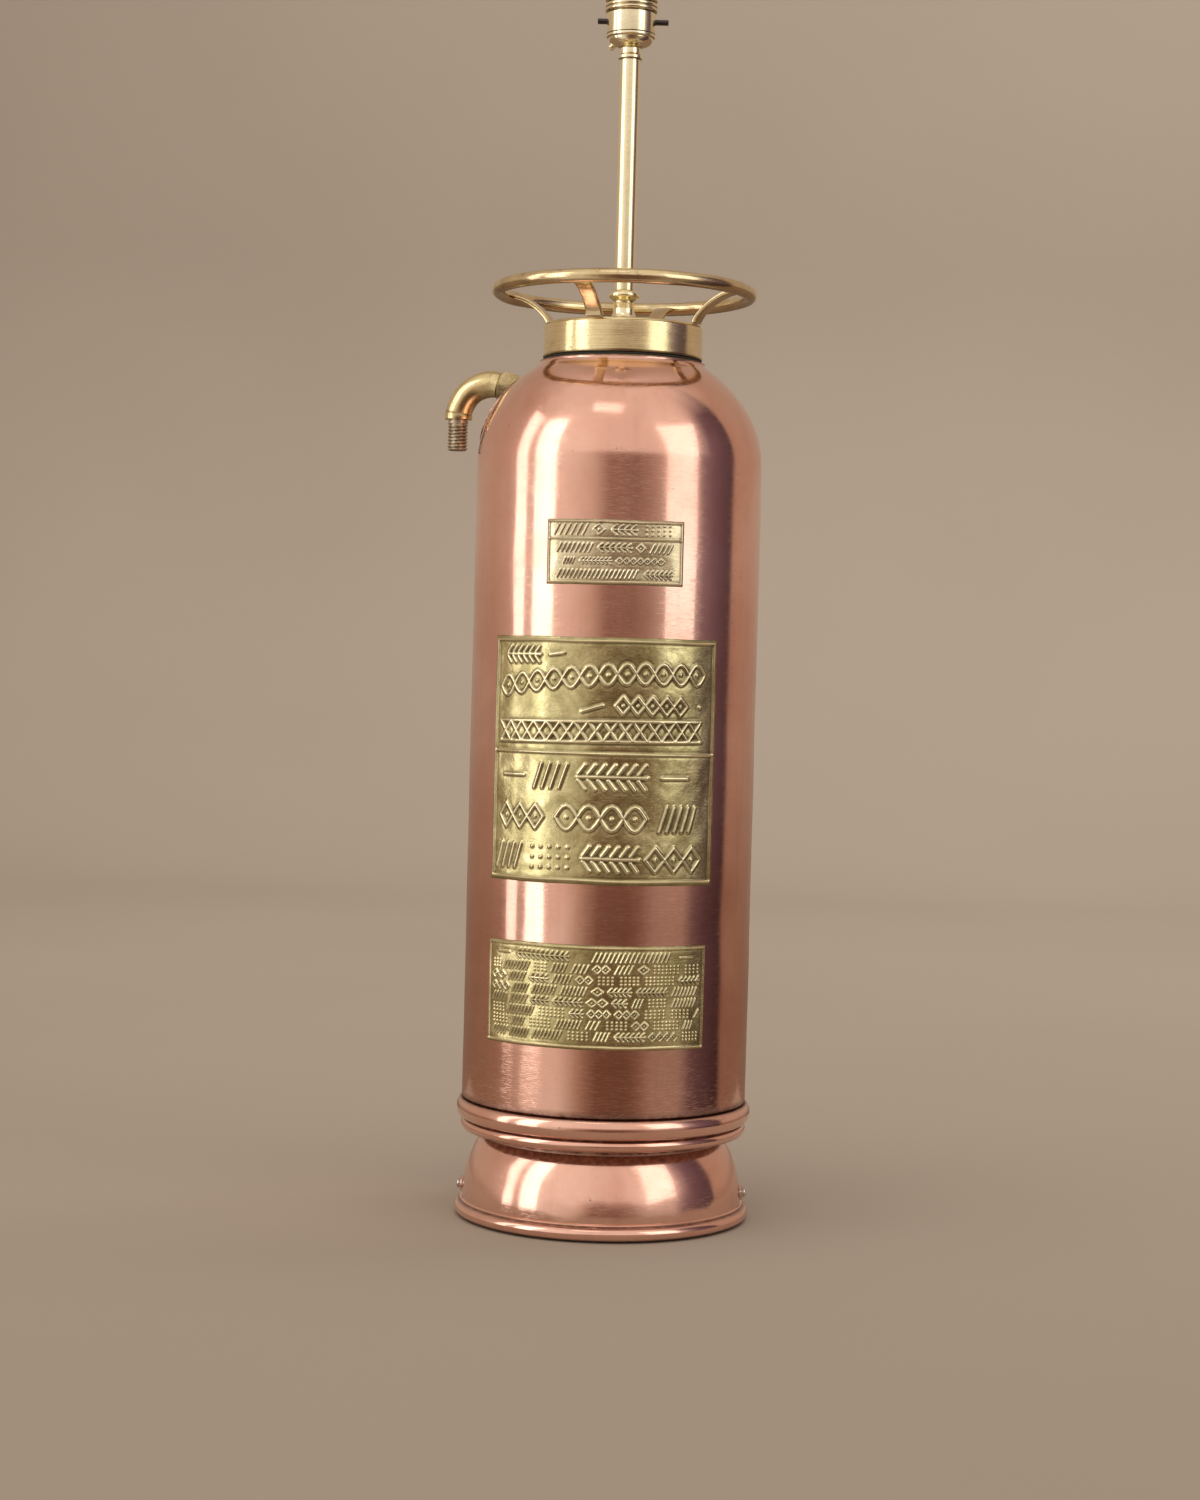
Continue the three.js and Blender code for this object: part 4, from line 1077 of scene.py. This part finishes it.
class Relief:
    """A height map over a plate, in millimetres from its lower left corner."""

    def __init__(self, width, height, step):
        columns, rows = round(width / step) + 1, round(height / step) + 1
        self.width, self.height, self.step = width, height, step
        self.u, self.v = np.meshgrid(np.linspace(0, width, columns), np.linspace(0, height, rows))
        self.h = np.zeros_like(self.u)

    def stroke(self, a, b, half_width):
        """A rounded ridge from a to b."""
        a, b = np.array(a, float), np.array(b, float)
        reach = 1.5 * half_width
        low = np.maximum((np.minimum(a, b) - reach) / self.step - 1, 0).astype(int)
        high = ((np.maximum(a, b) + reach) / self.step + 2).astype(int)
        window = (slice(low[1], high[1]), slice(low[0], high[0]))
        u, v = self.u[window] - a[0], self.v[window] - a[1]
        run = b - a
        along = np.clip((u * run[0] + v * run[1]) / (run @ run + 1e-9), 0, 1)
        distance = np.hypot(u - along * run[0], v - along * run[1])
        ridge = 0.5 + 0.5 * np.cos(math.pi * np.clip(distance / reach, 0, 1))
        self.h[window] = np.maximum(self.h[window], ridge)

    def path(self, places, half_width):
        for a, b in zip(places, places[1:]):
            self.stroke(a, b, half_width)

    def frame(self, inset, half_width):
        right, top = self.width - inset, self.height - inset
        self.path([(inset, inset), (right, inset), (right, top), (inset, top), (inset, inset)], half_width)

    def row(self, motif, start, end, centre, tall, half_width, spread=1.0):
        """Repeats a motif from start to end, about a line at centre, which may be a function of u."""
        pitch = MOTIF_PITCH[motif.__name__] * tall * spread
        count = max(1, round((end - start) / pitch))
        pitch = (end - start) / count
        line_at = centre if callable(centre) else lambda u: centre
        for i in range(count):
            u = start + pitch * i
            for path in motif(pitch, tall - 2 * half_width):
                self.path([(u + x, line_at(u + x) + y) for x, y in path], half_width)


def rope(pitch, tall):
    """A slanting strand of a rope."""
    return [[(0.05 * pitch, -tall / 2), (0.95 * pitch, tall / 2)]]


def lozenges(pitch, tall):
    """A lozenge joined to the next one, with a dot in its middle."""
    x, y = pitch / 2, tall / 2
    return [[(0, 0), (x, y), (pitch, 0), (x, -y), (0, 0)], [(x, -0.1), (x, 0.1)]]


def plait(pitch, tall):
    """Two strands that cross each other, with a dot in each eye."""
    steps = np.linspace(0, 1, 13)
    wave = 0.5 * tall * np.sin(TAU * steps)
    dots = [[(share * pitch, 0), (share * pitch, 0.1)] for share in (0.25, 0.75)]
    return [list(zip(pitch * steps, wave)), list(zip(pitch * steps, -wave)), *dots]


def wheat(pitch, tall):
    """Two grains either side of a stalk."""
    return [[(0, 0), (pitch, 0)], [(0.1 * pitch, 0.12 * tall), (0.8 * pitch, tall / 2)],
            [(0.1 * pitch, -0.12 * tall), (0.8 * pitch, -tall / 2)]]


def beads(pitch, tall):
    """Three dots above each other."""
    x = pitch / 2
    return [[(x, level), (x, level + 0.1)] for level in (-0.42 * tall, 0.0, 0.42 * tall)]


def trellis(pitch, tall):
    """Crossed bars between two rails."""
    low, high = -tall / 2, tall / 2
    return [[(0, low), (pitch, high)], [(0, high), (pitch, low)], [(0, low), (pitch, low)],
            [(0, high), (pitch, high)]]


MOTIF_PITCH = {"rope": 0.30, "lozenges": 0.62, "plait": 1.5, "wheat": 0.36, "beads": 0.32, "trellis": 0.62}


def main_relief(width, height):
    """Bold friezes: an arched one between two short ones over two panels."""
    r = Relief(width, height, 0.48)
    r.frame(2.4, 0.75)
    middle = 0.53 * height
    r.stroke((2.4, middle), (width - 2.4, middle), 0.75)
    bold = 1.2

    def arch(u):
        return 0.785 * height + 10 * u / width + 4.0 * math.sin(math.pi * u / width)

    r.row(wheat, 11, 37, 0.925 * height, 12, bold)
    r.stroke((43, 0.925 * height), (52, 0.935 * height), bold)
    r.row(plait, 7, width - 10, arch, 14.5, bold)
    r.stroke((64, 0.70 * height), (76, 0.725 * height), bold)
    r.row(lozenges, 84, 128, 0.725 * height, 13, bold)
    r.stroke((137, 0.725 * height), (137.2, 0.725 * height), 1.2)
    r.row(trellis, 7, width - 12, lambda u: 0.612 * height + 2 * u / width, 14.5, bold)
    for share, items in (
        (0.435, ((None, 11, 27), (rope, 34, 56), (wheat, 62, 104), (None, 113, 130))),
        (0.268, ((lozenges, 8, 41), (plait, 49, 104), (rope, 112, 136))),
        (0.105, ((rope, 6, 26), (beads, 31, 60), (wheat, 66, 100), (lozenges, 104, 140))),
    ):
        for motif, start, end in items:
            if motif is None:
                r.stroke((start, share * height), (end, share * height), bold)
            else:
                r.row(motif, start, end, share * height, 17, bold)
    return r


def small_relief(width, height):
    r = Relief(width, height, 0.36)
    fine = 0.46
    r.frame(1.4, 0.45)
    r.stroke((1.4, 0.70 * height), (width - 1.4, 0.70 * height), 0.45)
    for motif, start, end in ((rope, 5, 26), (lozenges, 29, 36), (wheat, 40, 55), (beads, 59, 77)):
        r.row(motif, start, end, 0.845 * height, 7.2, fine, 1.5)
    for share, tall, words in (
        (0.565, 6.0, ((7, 29), (32, 52), (55, 60), (63, 77))),
        (0.365, 4.4, ((11, 18), (21, 40), (43, 72))),
        (0.165, 5.6, ((7, 56), (60, 77))),
    ):
        for i, (start, end) in enumerate(words):
            r.row((rope, wheat, lozenges)[i % 3], start, end, share * height, tall, fine, 1.5)
    return r


def directions_relief(width, height):
    r = Relief(width, height, 0.4)
    fine = 0.46
    r.frame(1.6, 0.45)
    top_row = 0.885 * height
    r.stroke((10, top_row), (19, top_row), fine)
    r.stroke((width - 19, top_row), (width - 10, top_row), fine)
    r.row(wheat, 25, 60, top_row, 6.4, fine, 1.4)
    r.row(rope, 74, 121, top_row, 6.4, fine, 1.4)
    random = np.random.RandomState(7)
    motifs = (rope, beads, wheat, lozenges, rope)
    for row in range(7):
        u = 5.0
        while u < width - 8:
            end = min(u + random.uniform(6, 20), width - 4.5)
            r.row(motifs[random.randint(len(motifs))], u, end, (0.77 - 0.107 * row) * height, 5.8, fine, 1.4)
            u = end + random.uniform(2.2, 3.2)
    return r


def blurred(values, radius):
    """Box blur of a height map, along one axis and then the other."""
    size = 2 * radius + 1
    for _ in range(2):
        total = np.cumsum(np.pad(values, [(radius + 1, radius), (0, 0)], mode="edge"), axis=0)
        values = ((total[size:] - total[:-size]) / size).T
    return values


def curved_plate(node, span_left, span_right, relief_of, seed, depth, look):
    """A sheet pressed with its relief, bent round the tank and slightly uneven, as the old sheet is."""
    low, high = extent(node)
    width = math.radians(span_right - span_left) * PLATE_R
    height = high[2] - low[2]
    r = relief_of(width, height)
    rows, columns = r.u.shape
    flat = points(r.u, r.v, 0.0)
    wobble = waves(flat, 30, seed) * 0.26 + waves(flat, 11, seed + 4) * 0.05
    edge = np.minimum(np.minimum(r.u, width - r.u), np.minimum(r.v, height - r.v))
    lift = SHEET - 0.45 * (1 - smooth_step(edge / 0.9)) + wobble * smooth_step(edge / 8)
    sunk = blurred(r.h, 4) * (1 - r.h)
    radius = PLATE_R + lift + depth * (r.h - 0.35 * sunk)
    ragged_u = 0.35 * waves(flat * (0, 1, 0), 30, seed + 2) * (r.u / width - 0.5)
    ragged_v = 0.35 * waves(flat * (1, 0, 0), 36, seed + 3) * (r.v / height - 0.5)
    angle = np.radians(span_left - 90) + (r.u + ragged_u) / PLATE_R
    z = low[2] + np.clip(r.v + ragged_v, 0.0, height)
    index = np.arange(rows * columns).reshape(rows, columns)
    rim = np.concatenate([index[0], index[1:, -1], index[-1, -2::-1], index[-2:0:-1, 0]]).tolist()
    front, back = (polar(at, angle, z).reshape(-1, 3) for at in (radius, PLATE_R))
    verts = np.vstack([front, back[rim]])
    corners = [index[:-1, :-1], index[:-1, 1:], index[1:, 1:], index[1:, :-1]]
    faces = np.stack(corners, -1).reshape(-1, 4).tolist()
    around = [index.size + k % len(rim) for k in range(len(rim) + 1)]
    rim.append(rim[0])
    faces += [[around[k], around[k + 1], rim[k + 1], rim[k]] for k in range(len(rim) - 1)]
    bottom, right = around[:columns], around[columns - 1:columns - 1 + rows]
    top, left = around[columns + rows - 2:2 * columns + rows - 2], around[2 * columns + rows - 3:]
    for j in range(1, columns - 2):
        faces.append([bottom[j], top[columns - 1 - j], top[columns - 2 - j], bottom[j + 1]])
    faces.append([bottom[1], *left[::-1], top[columns - 2]])
    faces.append([bottom[columns - 2], top[1], *right[::-1]])
    # painted shade, partly patina, beside the raised strokes and along the sheet's edges against the tank;
    # the cut edges and back are half dark
    hollow = np.clip(3.2 * (sunk - 0.12), 0, 1)
    hollow = np.maximum(hollow, 0.8 * np.exp(-((edge / 0.7) ** 2)))
    spare = np.zeros(len(rim) - 1)
    build(node, verts, faces, look, "tank", sharp=60,
          grime=np.concatenate([np.clip(hollow, 0, 0.95).ravel(), spare + 0.5]),
          relief=np.concatenate([r.h.ravel(), spare]))


# the azimuths of the left and right edge come first, and the depth of the relief before the look
curved_plate("plate_small", -28, 26.2, small_relief, 61, 0.65, SMALL_PLATE_BRASS)
curved_plate("plate_main", -53, 43.4, main_relief, 62, 0.85, PLATE_BRASS)
curved_plate("plate_directions", -53, 41.3, directions_relief, 63, 0.65, PLATE_BRASS)

# ---------------- CAD nodes that keep their shape

KEPT = {
    "tank_bottom": COPPER, "base_disc": WOOD, "felt_pad": FELT, "outlet_strainer": OUTLET_BRASS,
    "threaded_rod": LAMP_BRASS, "lock_nut": LAMP_BRASS, "lock_washer": SCREW_STEEL,
    "insulator_block": INSULATOR,
}
for kept_name, kept_look in KEPT.items():
    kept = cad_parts[kept_name].data.materials
    kept.clear()
    kept.append(kept_look[0])

# ---------------- floor, backdrop and light

WALL_Y = 3.4
SWEEP_R = 1.1
HALF_WIDTH = 14.0
NEAR_FRONT, NEAR_BACK, NEAR_SIDE = -0.35, 0.40, 0.45    # the part of the floor that shows in the metal


def stage_material(name, colour):
    g = Graph(name, Metallic=0.0, Roughness=0.9, Specular_IOR_Level=0.0)
    cloud = g.noise(1.2, 3, 0.5)
    g.to_shader("Base Color", g.mix(g.ramp(cloud, 0.3, 0.7), colour, tuple(0.95 * c for c in colour)))
    g.bump((g.noise(240, 3, 0.6), 0.05, 0.3))
    return g.material


def stage_sheet(name, profile, material, left=-HALF_WIDTH, right=HALF_WIDTH, glossy=False):
    """A sheet swept from left to right along (y, z) points, in metres; metal shows only a glossy one."""
    n = len(profile)
    mesh = bpy.data.meshes.new(name)
    mesh.from_pydata([(x, y, z) for x in (left, right) for y, z in profile], [],
                     [(i, i + 1, n + i + 1, n + i) for i in range(n - 1)])
    mesh.polygons.foreach_set("use_smooth", [True] * (n - 1))
    mesh.materials.append(material)
    piece = linked(name, mesh)
    piece.visible_glossy = glossy


def make_stage():
    pale = stage_material("stage", (0.42, 0.365, 0.305))
    sweep = [(WALL_Y - SWEEP_R + SWEEP_R * math.sin(a), SWEEP_R - SWEEP_R * math.cos(a))
             for a in np.linspace(0, math.pi / 2, 24)]
    near = [(NEAR_FRONT, 0), (NEAR_BACK, 0)]
    stage_sheet("floor_near", near, pale, -NEAR_SIDE, NEAR_SIDE, glossy=True)
    stage_sheet("floor_left", near, pale, right=-NEAR_SIDE)
    stage_sheet("floor_right", near, pale, left=NEAR_SIDE)
    stage_sheet("floor_front", [(-HALF_WIDTH, 0), (NEAR_FRONT, 0)], pale)
    stage_sheet("backdrop", [(NEAR_BACK, 0), (1, 0), *sweep, (WALL_Y, 4.5)], pale)


def softbox(name, azimuth, elevation, width, height, radiance, distance=1.9):
    """A light that faces the tank and shows only in its metal; radiance is what a mirror would show."""
    a, e = math.radians(azimuth), math.radians(elevation)
    offset = Vector((math.sin(a) * math.cos(e), -math.cos(a) * math.cos(e), math.sin(e))) * distance
    light = area_light(name, Vector((0, 0, 0.35)) + offset, offset, width, height, radiance)
    light.visible_diffuse = False


def room_light(name, place, back, width, height, radiance):
    """A light for the floor and backdrop, which the metal doesn't show."""
    light = area_light(name, place, back, width, height, radiance)
    light.visible_glossy = False


def area_light(name, place, back, width, height, radiance):
    """A rectangular light that shines away from its back direction."""
    data = bpy.data.lights.new(name, "AREA")
    data.shape = "RECTANGLE"
    data.size, data.size_y = width, height
    data.energy = radiance * math.pi * width * height
    data.color = (1.0, 0.97, 0.93)
    light = linked(name, data)
    light.location = place
    light.rotation_euler = Vector(back).to_track_quat("Z", "Y").to_euler()
    light.visible_camera = False
    return light


ROOM = [                     # azimuth and colour of the room round the object, at eye level
    (-180, (0.43, 0.34, 0.26)), (-112, (0.48, 0.365, 0.28)), (-99, (0.54, 0.41, 0.33)),
    (-60, (0.90, 0.80, 0.70)), (-40, (0.83, 0.73, 0.64)), (-20, (0.60, 0.48, 0.39)),
    (-8, (0.30, 0.19, 0.145)), (14, (0.27, 0.175, 0.135)), (26, (0.36, 0.25, 0.20)),
    (40, (0.60, 0.52, 0.45)), (62, (0.60, 0.52, 0.46)), (72, (0.25, 0.185, 0.21)),
    (84, (0.165, 0.112, 0.135)), (103, (0.09, 0.06, 0.07)), (107, (0.46, 0.33, 0.25)),
    (180, (0.43, 0.34, 0.26)),
]
LOW_TINT = (0.50, 0.42, 0.36)    # of the room below eye level
UPPER_ROOM = (0.98, 0.87, 0.77)  # mixed in above eye level
CEILING = (0.80, 0.69, 0.59)
BACKGROUND = (0.34, 0.285, 0.23)


def make_world():
    """A studio whose walls differ in colour round the object, and one plain colour behind it."""
    world = bpy.data.worlds.new("studio")
    bpy.context.scene.world = world
    g = Nodes(world)
    direction = g.add("ShaderNodeTexCoord", out="Generated")
    x, y, z = g.add("ShaderNodeSeparateXYZ", {0: direction}).node.outputs
    angle = g.math("ARCTAN2", x, g.math("MULTIPLY", y, -1.0))       # 0 at the front, in radians
    walls = g.add("ShaderNodeValToRGB", {0: g.ramp(angle, -math.pi, math.pi)})
    elements = walls.node.color_ramp.elements
    elements.remove(elements[1])
    for i, (azimuth, colour) in enumerate(ROOM):
        element = elements[0] if i == 0 else elements.new((azimuth + 180) / 360)
        element.color = (*colour, 1)
    off_front = g.math("ABSOLUTE", angle)
    off_left = g.math("ABSOLUTE", g.math("ADD", angle, 0.87))
    below = g.math("MULTIPLY", g.ramp(z, 0.04, -0.12), g.ramp(off_left, 0.25, 0.55, 0.3))
    raised = g.math("MULTIPLY", g.ramp(z, 0.10, 0.17, 0, 0.75), g.ramp(off_front, 1.40, 1.00))
    above = g.math("MULTIPLY", g.ramp(z, 0.66, 0.90), g.ramp(off_front, 2.60, 1.50))
    colour = g.mix(below, walls, LOW_TINT, "MULTIPLY")
    colour = g.mix(raised, colour, UPPER_ROOM)
    colour = g.mix(above, colour, CEILING)
    room = g.add("ShaderNodeBackground", {"Color": colour})
    plain = g.add("ShaderNodeBackground", {"Color": (*BACKGROUND, 1)})
    seen = g.add("ShaderNodeLightPath", out="Is Camera Ray")
    surface = g.add("ShaderNodeMixShader", {0: seen, 1: room, 2: plain})
    g.plug(g.tree.nodes.new("ShaderNodeOutputWorld"), 0, surface)


make_stage()
make_world()
softbox("softbox_left", -60, 14.4, 0.60, 2.0, 1.5)
softbox("softbox_far_left", -82.5, 14.4, 0.38, 2.0, 1.35)
softbox("softbox_right", 51, 20, 0.90, 1.46, 0.98)
softbox("softbox_top", -14, 58, 0.60, 0.30, 0.9)
room_light("backdrop_light", (1.5, 0.9, 3.2), (0, -2.5, 1.8), 4.0, 1.0, 4.7)
room_light("floor_light", (-0.4, -0.7, 3.0), (-0.15, -0.25, 1), 2.6, 2.2, 1.25)

bpy.context.scene.view_settings.view_transform = "Standard"
bpy.context.scene.view_settings.look = "None"
